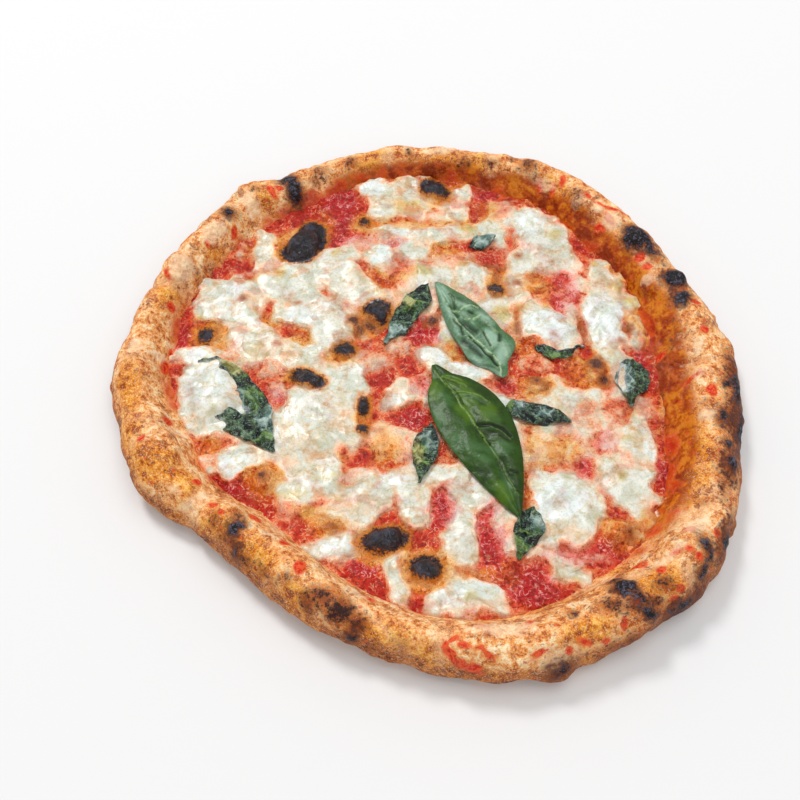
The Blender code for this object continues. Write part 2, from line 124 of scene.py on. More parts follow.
RIM_BROWN = (
    (-58, 141, 5, 3.5), (-41, 148, 4.5, 4.5, 20), (-7, 155, 2.4, 3), (61, 147, 6, 4.2, -20),
    (66, 138, 2.6, 1.8), (87, 124, 3, 4.4, 20), (85, 115, 2.6, 2, -45), (24, 148, 4, 3), (39, 148, 3, 3),
    (126, 66, 4, 3), (131, 55, 4, 7, -20), (124, 22, 2.4, 3), (137, -14, 2.6, 1.8), (127, 35, 1.6, 1.6),
    (139, -46, 4, 8, -10), (136, -60, 3, 8, -10), (102, -108, 5, 4), (78, -117, 7, 5), (80, -110, 4, 3),
    (86, -118, 5, 4), (60, -121, 3, 3), (104, -117, 5, 4), (151, 4, 15, 5, 84), (147, -24, 17, 7, 78),
    (142, -48, 14, 6, 72), (131, -86, 12, 3.4, 62), (114, -113, 14, 2.4, 35), (84, -133, 10, 2, 25),
    (97, -117, 6, 4, -30), (90, -122, 6, 3, 20), (125, -68, 2, 2), (119, -104, 2, 2), (-46, -114, 8, 6),
    (-38, -120, 9, 7, -20), (-31, -126, 6, 6), (-52, -117, 5, 5), (-86, -74, 3.4, 3), (-85, -87, 3, 2.4),
    (-88, -88, 6, 4, -35), (-71, -104, 5, 2.6, -40), (-62, -105, 2.2, 1.8), (-57, -85, 3.4, 2, 20),
    (-112, -28, 2, 4, 25), (-96, -78, 3, 4), (-80, -97, 4, 3, -30), (-120, 66, 2, 1.6, -30),
    (-111, 69, 1.6, 2.4), (-24, -136, 2, 1.6), (-12, -137, 2, 1.6), (114, -10, 1.8, 1.8),
    (-60, 133, 2, 1.6), (-93, 128, 2, 2),
)
RIM_TOMATO = (
    (139, -8, 2.6, 3.6), (142, 29, 2.6, 2, -40), (140, 47, 2.6, 1.6, -30), (117, 12, 3, 2, 20),
    (131, 0, 5, 1.5, 32), (-77, -77, 3.4, 2.6, 10), (-63, -89, 3.2, 1.8, 10), (-56, -100, 2.6, 3.4),
    (-130, 43, 2.4, 2.4), (-135, 66, 1.2, 4, 25), (-102, 94, 1.6, 4), (9, -140, 4, 1.8, -60),
    (13, -143, 3, 1.6, -30), (18, -145, 4, 1.5, -20), (10, -132, 2.6, 1.2, 20), (14, -135, 2.4, 1.2, -20),
    (21, -136, 2, 1), (24, -139, 3, 1.4, -30), (6, -136, 1.2, 4), (23, -127, 2.6, 1.4, -40),
    (8, -124, 1, 2.4), (42, -125, 1.3, 3, -35), (101, -101, 2, 2.4), (91, -100, 4, 1.3, 15),
    (117, -82, 2.8, 1.6, 20), (115, -91, 2, 1.5), (105, -115, 2.4, 1.4), (82, -126, 1.6, 3),
    (73, -133, 2.2, 1.2), (65, -134, 3.4, 1.1, -5), (102, 105, 2, 5, 30), (104, 114, 9, 1.4, -32),
    (92, 123, 1.4, 3, 40), (66, 130, 1.8, 3), (73, 127, 1.3, 3, -10), (79, 134, 1.4, 4, -10),
    (-105, -58, 2, 2), (115, 78, 3, 3), (118, 71, 2.4, 2), (-128, 5, 1.8, 5), (-125, 12, 4, 2.2, -55),
    (-122, -25, 2.4, 1.6), (-135, -34, 2.8, 1.4, 35), (-84, 125, 1.8, 4, 35), (-80, 129, 2.4, 2),
    (-25, -115, 3, 1.2, -25), (45, -139, 4, 1.1, 25), (120, 93, 2.6, 2.6), (128, -84, 1.6, 2.4),
    (119, -95, 2, 1.6, 40), (108, -110, 2, 1.6), (88, -116, 2, 1.4), (-93, -73, 2, 1.4, -30),
    (-116, 87, 1.2, 2), (58, -138, 1.6, 1.6), (96, 98, 3, 1.6, -40), (109, -92, 3, 1.2, 15),
    (-97, -70, 3, 1.4, -20),
)
RIM_FLOUR = (
    (137, 20, 3, 6, -10), (136, 3, 4.5, 3), (134, -22, 4.5, 4.5), (110, -90, 6, 2.4, 15),
    (104, -95, 8, 2, 30), (-108, -70, 3, 5, -30), (-101, -65, 6, 2.4, 15), (-116, -62, 5, 2, -35),
    (52, -143, 6, 2.4, 15), (97, 112, 4, 3, -30), (-133, 13, 8, 3, 10), (-98, 120, 6, 3, 45),
    (118, 62, 4, 3, 40), (-70, -84, 6, 3), (-94, 112, 5, 6), (-127, 70, 8, 8), (-113, 96, 6, 9, -30),
    (-145, 20, 5, 6), (-116, -32, 9, 3, 15), (12, 158, 12, 3), (86, 118, 4, 6, -40), (104, 104, 6, 6),
    (68, 132, 8, 3, -30), (30, -128, 16, 5), (-30, -112, 8, 3, -45), (120, -80, 8, 4, 20),
)
RIM_GOLD = (
    (-145, -8, 5, 16, 8), (-140, -35, 7, 16, 20), (-126, -48, 12, 8, -40), (-112, -58, 10, 8, -30),
    (-96, -80, 9, 7, -35), (-76, -96, 13, 8, -35), (-58, -113, 8, 5, -30), (-22, -131, 16, 6, -20),
    (0, -142, 12, 5, -20), (45, -119, 14, 3, 15), (80, -103, 12, 3, -30), (100, -105, 10, 6),
    (120, -60, 8, 12, -10), (130, -40, 4, 12), (-132, 55, 8, 6), (-136, 48, 4, 7), (-112, 80, 5, 4),
    (-90, 122, 5, 7, 40), (-30, 148, 12, 5, 15), (10, 152, 16, 4), (30, 143, 14, 6), (75, 122, 12, 7, -45),
    (68, -128, 10, 5, 20), (118, 96, 4, 4),
)
# How the cheese and the sauce lie, which also run up the foot of the rim. What lies deeper in its
# own ovals shows, and between the two they blend.
CHEESE = (
    (-104, 54, 9, 7, 20), (-98, 40, 15, 9), (-88, 28, 12, 8), (-80, 56, 12, 11), (-66, 62, 12, 8, 10),
    (-52, 76, 9, 8), (-42, 78, 8, 7), (-42, 62, 14, 11), (-60, 50, 12, 6), (-64, 36, 14, 4.5, -10),
    (-74, 17, 14, 7), (-60, 13, 12, 8), (-48, 30, 9, 12), (-22, 76, 8, 8), (-32, 54, 8, 7), (-52, 22, 6, 8),
    (-85, 82, 2.4, 8), (-84, 70, 5, 5), (-113, 13, 8, 5.5), (-108, -4, 13, 12), (-108, -19, 13, 9),
    (-102, -29, 9, 5), (-88, -19, 8, 3.4, -15), (-92, -36, 9, 3), (-90, -49, 10, 9, 30), (-82, -45, 5, 6),
    (-57, -24, 13, 15), (-54, -48, 16, 15), (-40, -8, 12, 12), (-46, 5, 10, 6), (-40, -28, 9, 10),
    (-66, -40, 7, 14), (-62, -64, 6, 6), (-44, -62, 12, 6), (-30, -68, 13, 9), (-38, -76, 7, 3),
    (-20, -60, 10, 7), (-8, -68, 7.5, 11, 20), (-30, -56, 8, 4, 20), (-40, -91.5, 8.5, 5, -20),
    (-12, -107, 12, 4.6, -62), (0, -119, 6, 3.4, 45), (8, -113, 7, 5.6, 35), (17, -111.5, 10, 5),
    (28, -112.5, 7, 4, -25), (5, -55, 8, 5), (20, -64, 14, 6, -38), (15, -78, 6.5, 9), (13, -91, 7.5, 8),
    (33, -76, 4, 4), (34, -84, 2.4, 6, -10), (-14, -36, 8, 5), (-12, -9, 7, 6.5), (-8, -14, 8, 2.6),
    (5, 11, 8, 5.5, -20), (20, 3, 10, 4.5, -25), (31, -10, 7, 3.6, -60), (37, -22, 4.6, 9, 10),
    (42, -36, 2.6, 9), (11, 23, 4, 4.4), (4, 64, 12, 7), (22, 65, 11, 8), (-10, 54, 8, 4), (30, 54, 5, 8),
    (36, 44, 8, 4, -10), (42, 36, 4, 4), (62, 31, 15, 12), (91, 38, 12, 13), (91, 22, 8.5, 11),
    (94, 11, 6, 5), (104, 45, 5, 4), (106, 22, 4, 4), (58, 98, 11, 11), (62, 84, 13, 11), (75, 70, 10, 6),
    (92, 66, 8, 7), (88, 55, 13, 5), (50, 72, 6, 12), (45, 102, 5, 8), (98, 60, 5, 7), (72, 96, 5, 6),
    (-28, 128, 9, 8), (-20, 116, 9, 8), (-8, 120, 8, 13), (2, 140, 7, 2.6, 10), (-3, 109, 8, 4),
    (11, 106, 9, 4), (20, 108, 5, 7), (24, 122, 5, 6), (-12, 93, 11, 4.4, -5), (8, 92, 10, 3.6),
    (21, 95, 8, 6), (-5, 81, 8, 7), (36, 97, 8, 6), (40, 88, 3, 4), (72, -13, 11, 6.5), (64, -8, 3, 5),
    (84, -27, 5, 4), (92, -36, 9, 7), (101, -40, 7, 11), (86, -50, 7, 4), (92, -61, 13, 9), (82, -58, 4, 8),
    (100, -66, 6, 6), (73, -33, 3.6, 3.6), (55, -35, 3.6, 7), (60, -64, 14, 11), (66, -79, 11, 11),
    (51, -82, 6, 9), (49, -62, 4, 8), (74, -72, 6, 9), (53, -95, 7, 3.4, -20), (62, -103, 6, 3.4),
    (98, -76, 5, 4), (-97, 62, 4, 3), (0, 42, 3, 6), (47, 50, 3, 5), (96, -52, 6, 4),
    (108, -66, 4, 1.6, 20), (12, 34, 2, 3), (68, 22, 13, 7), (95, 0, 4, 8),
)
SAUCE = (
    (-62, 117, 12, 8, -10), (-72, 105, 10, 5, 12), (-83, 99, 6, 4, -20), (-48, 117, 6, 13),
    (-37, 116, 6, 9), (-43, 103, 5, 9), (-55, 107, 5, 6), (-47, 130, 7, 5), (-34, 139, 9, 4.5, 25),
    (-22, 142, 7, 4, 30), (-12, 147, 10, 4, 10), (0, 149, 10, 3), (10, 147, 8, 3.4, -25),
    (16, 138, 4, 8, 15), (-100, 72, 6, 4), (-105, 66, 5, 3.4, -30), (-97, 87, 4, 4),
    (-44, 88, 10, 3.4, -10), (-28, 88, 8, 2.6, -10), (-13, 86, 3.4, 4, 20), (-13, 74, 2.6, 4.4),
    (-31, 68, 5, 2.6, -50), (-22, 61, 7, 3.4, -50), (13, 80, 8, 3, 30), (22, 84, 5, 2.4), (36, 74, 8, 5.5),
    (46, 88, 2.2, 7), (31, 112, 2.8, 9), (41, 114, 7, 6), (39, 123, 7, 3), (70, 59, 7, 4.4, -40),
    (76, 50, 4.6, 8, 20), (73, 38, 3, 7), (79, 28, 2.4, 9, -10), (80, 18, 3, 5), (89, 83, 7, 5, -30),
    (84, 74, 2.6, 6), (57, 60, 5, 4), (-124, 42, 3, 6, -20), (-125, 33, 4, 6), (-123, 24, 5.5, 5),
    (-121, 4, 3, 4), (-124, -9, 2.2, 9, 10), (-120, -17, 3.6, 3), (-78, 1, 5, 3), (-71, -3, 5, 3.4),
    (-74, -12, 5, 2.4, -50), (-103, -38, 4, 2.6), (-96, -37, 5, 2), (-103, -43, 3.4, 4),
    (-102, -51, 3.4, 5, 30), (-99, -57, 2.6, 4.6), (-92, -61.5, 6, 2.4, -15), (-84, -60, 5, 2.6, 20),
    (-83, -64.5, 6, 2.6, -25), (-76, -67, 6, 3.4, -25), (-70, -72, 6, 2.4, -45), (-66, -78, 2.4, 4),
    (-56, -78, 8, 2.6, -25), (-51, -82, 4, 3), (-39, -45.5, 5, 1.8, -20), (-27, -47, 3.2, 5.5),
    (-33, -49, 6, 2, 10), (-20, -46, 5, 4.4), (-36, -59, 6, 1.4, 35), (-20, -55, 1.6, 3.6, -15),
    (-22, 0, 5, 5.5), (-24, -12, 2.8, 7, -5), (-27, -22, 3, 4), (-30, 14, 6, 3, -30), (-24, 10, 4, 4),
    (-8, 9, 3, 7, -10), (-3, -1, 3.6, 7, 20), (-4, -8, 3.6, 3.6), (0, 29, 7, 6.5), (-5, 21, 6, 4),
    (3, 22, 4, 4), (14, 12, 8, 1.8, -38), (-5, -23, 7, 7), (-12, -24, 4, 2.6), (35, -6, 5.5, 4.6),
    (40, -7, 3, 3.4), (7, -71, 5.5, 8), (5, -83, 4.4, 5), (-4, -86, 6, 3), (2, -90, 4, 2.6),
    (-17, -77, 4.6, 3.4), (-14, -73, 1.8, 4), (28, -75, 4.4, 4.4), (27, -88, 3.6, 10), (29, -97, 5, 4),
    (26, -104, 7, 3.4), (36, -104, 3.4, 4.4), (33, -108, 3.4, 2), (44, -108, 8, 6, 30), (49, -103, 3.4, 5),
    (40, -114, 6, 3.6), (52, -109, 6, 3, -10), (-31, -101, 6.5, 4, -20), (-24, -107, 4, 5, 20),
    (-13, -121, 6, 2.4, -10), (-5, -117, 3.4, 5), (-4, -124, 6, 2.4, -15), (-4, -111, 2.4, 3.6),
    (62, -95, 8, 2.4, -10), (74, -95, 8, 4), (81, -98, 8, 2.2), (82, -74, 3, 6, 20), (79, -86, 3.4, 7),
    (93, -93, 8, 4.4, -20), (112, -52, 4, 6), (107, -50, 5, 2), (114, -60, 6, 4.4), (108, -62, 5, 2.4),
    (113, -73, 7, 4, 20), (109, -78, 4, 1.6), (108, -34, 3, 4), (114, -39, 6, 6), (72, -45, 2.8, 8),
    (65, -37, 8, 4.4), (60, -48, 9, 3.6), (75, -51, 3, 3.6), (83, -37, 3.6, 5), (87, -31, 1.6, 5),
    (77, -22, 2.6, 4.4), (90, -22, 3, 4), (48, -31, 3, 4.4), (45, -60, 2, 9, -5), (47, -45, 3, 5),
    (53, 10, 8, 3, 10), (55, 6, 3.6, 3.6), (51, 1, 5, 2.4, 45), (45, 8, 2.6, 5), (107, 7, 3.4, 5),
    (109, -1, 2.4, 4), (105, 14, 5, 2), (47, 29, 1.8, 6), (50, 20, 5, 3), (72, 3, 6, 4.4, -20),
    (78, -4, 6, 2.6), (108, 31, 3.6, 6), (-110, 25, 10, 7), (-76, 30, 5, 2.2, -40), (-66, 27, 6, 2.2, -10),
    (-61, 22, 4, 4), (-80, 37, 1.8, 4), (-50, 53, 3, 4), (-91, 62, 3, 1.4, -20), (-2, 101, 12, 1.8),
    (36, -52, 4, 4), (99, -84, 5, 4), (102, 32, 2, 5), (5, -45, 4, 3, -50), (-8, 33, 6, 2, 30),
)
# Broad bubbles and creases, each with its rise or its fall as a last number.
RIM_BUBBLES = (
    (117, 58, 6.5, 8, -10, 1.6), (134, -22, 4.5, 4.5, 0, 1.2), (-93, 122, 8, 7, 0, 1.0),
    (-122, -45, 10, 8, 0, 1.0),
)
CREASES = (
    (-106, -72, 11, 3.5, 60, 2.4), (-122, -27, 13, 3, 8, 1.8), (-136, -34, 7, 3, 30, 1.2),
    (-132, 60, 12, 3, 5, 1.6), (-128, 82, 7, 3, -30, 1.6), (-99, 121, 8, 3, 45, 1.8),
    (-79, 130, 3, 8, 10, 1.2), (-27, -120, 15, 1.6, -46, 1.6), (98, -99, 13, 2.5, 25, 1.6),
    (124, 24, 11, 3, -15, 1.8), (126, 7, 11, 2.5, -5, 1.4), (98, 119, 8, 3, -45, 1.6),
    (121, -74, 11, 3, 20, 1.6), (5, -134, 3, 11, 0, 1.2), (-142, 14, 9, 2.5, -10, 1.2),
    (54, -140, 9, 3, 10, 1.2), (-66, -82, 3, 9, -20, 1.4), (118, 75, 3, 9, 25, 1.4),
    (62, -112, 14, 2.5, 15, 1.2), (40, 148, 3, 8, 0, 1.4), (-58, 134, 3, 8, -20, 1.4),
    (114, -104, 3, 9, 35, 1.2), (130, -62, 10, 3, 5, 1.2), (-20, 152, 3, 7, -15, 1.2),
)
# Small bubbles: their number, reach, rise as a share of it and the seed of their draw. The swellings
# of the whole rim are layers of ripples: height, size and seed.
SMALL_BUBBLES = 130
BUBBLE_REACH = (1.8, 4.6)
BUBBLE_RISE = (0.16, 0.28)
BUBBLE_SEED = 11
SWELLINGS = ((1.25, 14, 1), (0.60, 6, 2), (0.26, 2.6, 3))
CHAR_RISE = 0.9
CRUST_LEVELS = 2

# How finely directions are told apart at the rim's foot and on it, and where its wide side faces.
FOOT_STEPS = 60
RIM_STEPS = 120
WIDE_SIDE = 36
WIDE_SIDE_ENDS = (86, 60)

# How far outside its ovals a place still counts, how close corners are merged, where the rim starts.
FAR_OUTSIDE = -6.0
MERGE_WITHIN = 0.002 * MM
RIM_STARTS = 90 * MM

# The noise that shifts points about takes its offsets from a seed; without one they would differ from
# run to run.
NOISE_SEED = 3
noise.seed_set(NOISE_SEED)


def smooth_step(low, high, value):
    share = np.clip((value - low) / (high - low), 0, 1)
    return share * share * (3 - 2 * share)


def ripple(points, size, seed=0):
    """Smooth noise between about -1 and 1, with waves of that size in millimetres."""
    return np.array([noise.noise(place) for place in (points / size + 7.31 * seed).tolist()])


def ripples(points, *layers):
    """Layers of ripples added up, each given as its height, its size and its seed."""
    return sum(height * ripple(points, size, seed) for height, size, seed in layers)


def wander(points, size, amount, seed=0):
    """The same points shifted about smoothly, so that what is drawn with them gets uneven outlines."""
    places = (points / size + 5.17 * seed).tolist()
    return points + amount * np.array([noise.noise_vector(place)[:] for place in places])


def points_of(mesh):
    """A mesh's vertices in millimetres, one row each."""
    flat = np.empty(len(mesh.vertices) * 3)
    mesh.vertices.foreach_get("co", flat)
    return flat.reshape(-1, 3) / MM


def normals_of(mesh):
    flat = np.empty(len(mesh.vertices) * 3)
    mesh.vertices.foreach_get("normal", flat)
    return flat.reshape(-1, 3)


def move_points(mesh, points):
    mesh.vertices.foreach_set("co", (points * MM).astype(np.float32).ravel())
    mesh.update()


def store(mesh, **fields):
    """Keeps numbers for each vertex, which the finish reads by their name."""
    for name, values in fields.items():
        made = mesh.attributes.new(name, "FLOAT", "POINT")
        made.data.foreach_set("value", np.asarray(values, np.float32))


def depth_in(points, spots):
    """How far inside the nearest of some ovals each point lies, in millimetres; below zero outside."""
    best = np.full(len(points), FAR_OUTSIDE)
    for (x, y, z), half_length, half_width, *turned in spots:
        turn = math.radians(turned[0] if turned else 0)
        c, s = math.cos(turn), math.sin(turn)
        dx, dy, dz = points[:, 0] - x, points[:, 1] - y, points[:, 2] - z
        along, across = (dx * c + dy * s) / half_length, (dy * c - dx * s) / half_width
        away = np.sqrt(along ** 2 + across ** 2 + (dz / max(half_length, half_width, 4)) ** 2)
        best = np.maximum(best, (1 - away) * min(half_length, half_width))
    return best


def refined_copy(node_name, name, levels, longer=False):
    """A smooth, finer copy of a solid: its corners merged, its triangles paired and its faces divided."""
    bm = bmesh.new()
    bm.from_mesh(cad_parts[node_name].data)
    bmesh.ops.remove_doubles(bm, verts=bm.verts, dist=MERGE_WITHIN)
    bmesh.ops.join_triangles(
        bm, faces=bm.faces, angle_face_threshold=math.pi, angle_shape_threshold=math.pi,
        cmp_seam=False, cmp_sharp=False, cmp_uvs=False, cmp_vcols=False, cmp_materials=False,
    )
    if longer:
        round_edges = [edge for edge in bm.edges if runs_round(edge)]
        bmesh.ops.subdivide_edges(bm, edges=round_edges, cuts=1, use_grid_fill=True)
    mesh = bpy.data.meshes.new(name)
    bm.to_mesh(mesh)
    bm.free()
    coarse = bpy.data.objects.new(f"{name}_coarse", mesh)
    bpy.context.scene.collection.objects.link(coarse)
    divided = coarse.modifiers.new("finer", "SUBSURF")
    divided.levels = levels
    divided.render_levels = levels
    made = bpy.data.meshes.new_from_object(coarse.evaluated_get(bpy.context.evaluated_depsgraph_get()))
    bpy.data.objects.remove(coarse)
    made.name = name
    made.materials.clear()
    return made


def runs_round(edge):
    """Whether an edge runs along the rim and not across it."""
    first, second = (vertex.co.xy for vertex in edge.verts)
    middle, run = (first + second) / 2, second - first
    if middle.length < RIM_STARTS or run.length < 1e-6:
        return False
    return abs(run.normalized().dot(middle.normalized())) < 0.5


def show(mesh, finish, slot, *replaced):
    """Puts a finished mesh into the scene as a piece that stands for solids of the pizza."""
    mesh.materials.append(finish)
    mesh.shade_smooth()
    piece = bpy.data.objects.new(mesh.name, mesh)
    bpy.context.scene.collection.objects.link(piece)
    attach(piece, "root")
    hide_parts(*replaced)


def by_turn(x, y, values, steps):
    """The largest value in each direction, as a function of the direction in degrees."""
    turns = np.degrees(np.arctan2(y, x)) % 360
    index = np.minimum((turns / 360 * steps).astype(int), steps - 1)
    top = np.full(steps, -1e9)
    np.maximum.at(top, index, values)
    centres = (np.arange(steps) + 0.5) * 360 / steps
    known = top > -1e8
    return lambda turn: np.interp(turn % 360, centres[known], top[known], period=360)


def on_wide_side(turn):
    """1 on the right, where the rim's inner slope is wide and soaked, and 0 on the left."""
    return smooth_step(*WIDE_SIDE_ENDS, np.abs((turn - WIDE_SIDE + 180) % 360 - 180))


crust_mesh = refined_copy("dough", "crust", CRUST_LEVELS, longer=True)
crust_points = points_of(crust_mesh)
crust_normals = normals_of(crust_mesh)
crust_bvh = BVHTree.FromPolygons(
    [Vector(place) for place in points_of(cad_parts["dough"].data) * MM],
    [tuple(face.vertices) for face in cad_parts["dough"].data.polygons],
)


def on_crust(spots):
    """Moves spots from the seen plane to where the camera sees them on the crust."""
    moved = []
    for x, y, *rest in spots:
        aim = Vector((x * MM, y * MM, SEEN_PLANE))
        hit = crust_bvh.ray_cast(CAMERA_PLACE, (aim - CAMERA_PLACE).normalized())[0]
        moved.append((tuple((hit or crust_bvh.find_nearest(aim)[0]) / MM), *rest))
    return moved


sauce_edge = points_of(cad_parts["tomato_sauce"].data)
foot_radius = by_turn(*sauce_edge[:, :2].T, np.hypot(*sauce_edge[:, :2].T), FOOT_STEPS)
crust_x, crust_y, crust_z = crust_points.T
turn = np.degrees(np.arctan2(crust_y, crust_x)) % 360
radius = np.hypot(crust_x, crust_y)
outer_radius = by_turn(crust_x, crust_y, radius, RIM_STEPS)
crest_height = by_turn(crust_x, crust_y, crust_z, RIM_STEPS)
outwards = crust_points[:, :2] / np.maximum(radius, 1)[:, None]
facing_out = (crust_normals[:, :2] * outwards).sum(axis=1)
facing_up = crust_normals[:, 2]
across = (radius - foot_radius(turn)) / (outer_radius(turn) - foot_radius(turn))
level = crust_z / crest_height(turn)
rim = smooth_step(0.02, 0.2, across) * smooth_step(0.5, 2.5, crust_z)

# Swellings of the crust: broad ones, small bubbles scattered by a seeded draw, and the charred tops.
loose = wander(wander(crust_points, 7, 1.6, 1), 2.6, 0.7, 2)
char = depth_in(loose, on_crust(RIM_CHAR))
brown = depth_in(loose, on_crust(RIM_BROWN))
pushed = ripples(crust_points, *SWELLINGS)
draw = np.random.default_rng(BUBBLE_SEED)
on_rim = np.flatnonzero((rim > 0.9) & (facing_up > -0.2))
for pick in draw.choice(on_rim, SMALL_BUBBLES, replace=False):
    size = draw.uniform(*BUBBLE_REACH)
    away = np.linalg.norm(crust_points - crust_points[pick], axis=1) / size
    pushed += draw.uniform(*BUBBLE_RISE) * size * smooth_step(1, 0, away)
for spot, half_length, half_width, angle, rise in on_crust(RIM_BUBBLES):
    pushed += rise * smooth_step(0, 4, depth_in(crust_points, [(spot, half_length, half_width, angle)]))
creased = np.zeros(len(crust_points))
for spot, half_length, half_width, angle, fall in on_crust(CREASES):
    pressed = smooth_step(-2.5, 2, depth_in(loose, [(spot, half_length, half_width, angle)]))
    creased = np.maximum(creased, pressed)
    pushed -= fall * pressed
pushed += CHAR_RISE * smooth_step(-1.5, 1.5, char) * (1 + 0.5 * ripple(crust_points, 1.8, 4))
crust_shape = crust_points + crust_normals * (pushed * rim)[:, None]
crust_shape[:, 2] = np.maximum(crust_shape[:, 2], 0)
move_points(crust_mesh, crust_shape)

wide_slope = on_wide_side(turn)
slope = smooth_step(0.56, 0.14, across) * smooth_step(0.30, -0.15, facing_out)
store(
    crust_mesh,
    oil=slope * (0.10 + wide_slope),
    foot=smooth_step(0.2, 0.02, across) * (0.45 + 0.55 * wide_slope),
    sauce=depth_in(loose, on_crust(SAUCE)) - 5 * smooth_step(0.1, 0.45, across),
    cheese=depth_in(loose, on_crust(CHEESE)) - 6 * smooth_step(0.05, 0.3, across),
    gold=depth_in(loose, on_crust(RIM_GOLD)),
    side=smooth_step(0.1, 0.85, facing_out) * smooth_step(0.95, 0.45, level),
    char=char,
    brown=brown,
    tomato=depth_in(wander(crust_points, 2.5, 0.6, 3), on_crust(RIM_TOMATO)),
    flour=depth_in(loose, on_crust(RIM_FLOUR)),
    creased=creased,
    underside=smooth_step(-0.6, -0.95, facing_up) * smooth_step(4, 1, crust_z),
)


def srgb(red, green, blue):
    """A colour as picked on a screen, from 0 to 255, turned into the shader's linear one."""
    values = [channel / 255 for channel in (red, green, blue)]
    linear = [v / 12.92 if v <= 0.04045 else ((v + 0.055) / 1.055) ** 2.4 for v in values]
    return (*linear, 1.0)


def new_finish(name):
    """A new material, to which the functions below add their nodes until another is made."""
    global tree
    made = bpy.data.materials.new(name)
    made.use_nodes = True
    tree = made.node_tree
    return made


def fill(node, inputs):
    """Gives each of a node's inputs a number, another node's output or a colour from 0 to 255."""
    for key, value in inputs.items():
        if isinstance(value, bpy.types.NodeSocket):
            tree.links.new(value, node.inputs[key])
        else:
            node.inputs[key].default_value = srgb(*value) if isinstance(value, tuple) else value


def add_node(kind, settings, inputs):
    made = tree.nodes.new(kind)
    for key, value in settings.items():
        setattr(made, key, value)
    fill(made, inputs)
    return made


def maths(operation, *values):
    return add_node("ShaderNodeMath", {"operation": operation}, dict(enumerate(values))).outputs[0]


def own_place():
    return add_node("ShaderNodeTexCoord", {}, {}).outputs["Object"]


def kept(name):
    """The number stored on the vertices under that name."""
    return add_node("ShaderNodeAttribute", {"attribute_name": name}, {}).outputs["Fac"]


def grain(size, detail=3.0, rough=0.55, swirl=0.0):
    """Noise around 0.5 with grains of that size in millimetres, drawn into swirls where asked."""
    inputs = {"Vector": own_place(), "Scale": 1 / (size * MM), "Detail": detail, "Roughness": rough}
    return add_node("ShaderNodeTexNoise", {}, {**inputs, "Distortion": swirl}).outputs["Fac"]


def cells(size):
    """Distance to the nearest of scattered points that are about that many millimetres apart."""
    inputs = {"Vector": own_place(), "Scale": 1 / (size * MM)}
    return add_node("ShaderNodeTexVoronoi", {}, inputs).outputs["Distance"]


def product(first, second):
    return maths("MULTIPLY", first, second)


def frayed(field, *noises):
    """A field with noises laid over it, each given with the width in millimetres that it stirs up."""
    for noise_socket, width in noises:
        field = maths("MULTIPLY_ADD", maths("SUBTRACT", noise_socket, 0.5), width, field)
    return field


def eased(value, low, high, top=1.0):
    """0 where value is at low, top where it is at high, with a soft passage between them."""
    inputs = {"Value": value, "From Min": low, "From Max": high, "To Min": 0.0, "To Max": top}
    return add_node("ShaderNodeMapRange", {"interpolation_type": "SMOOTHSTEP"}, inputs).outputs["Result"]


def blended(share, first, second):
    """One colour passing into another."""
    return add_node("ShaderNodeMix", {"data_type": "RGBA"}, {0: share, 6: first, 7: second}).outputs[2]


def ramp(value, *stops):
    """A colour that passes through several, each given with the value where it stands alone."""
    colour = stops[0][1]
    for (low, _), (high, following) in zip(stops, stops[1:]):
        colour = blended(eased(value, low, high), colour, following)
    return colour


def tinted(share, colour, tint):
    """A colour darkened by multiplying it with another."""
    settings = {"data_type": "RGBA", "blend_type": "MULTIPLY"}
    return add_node("ShaderNodeMix", settings, {0: share, 6: colour, 7: tint}).outputs[2]


def surface(inputs):
    """Gives the material's own shader its inputs."""
    fill(tree.nodes["Principled BSDF"], inputs)


def bumps(height, distance, strength):
    inputs = {"Height": height, "Distance": distance * MM, "Strength": strength}
    return add_node("ShaderNodeBump", {}, inputs).outputs["Normal"]


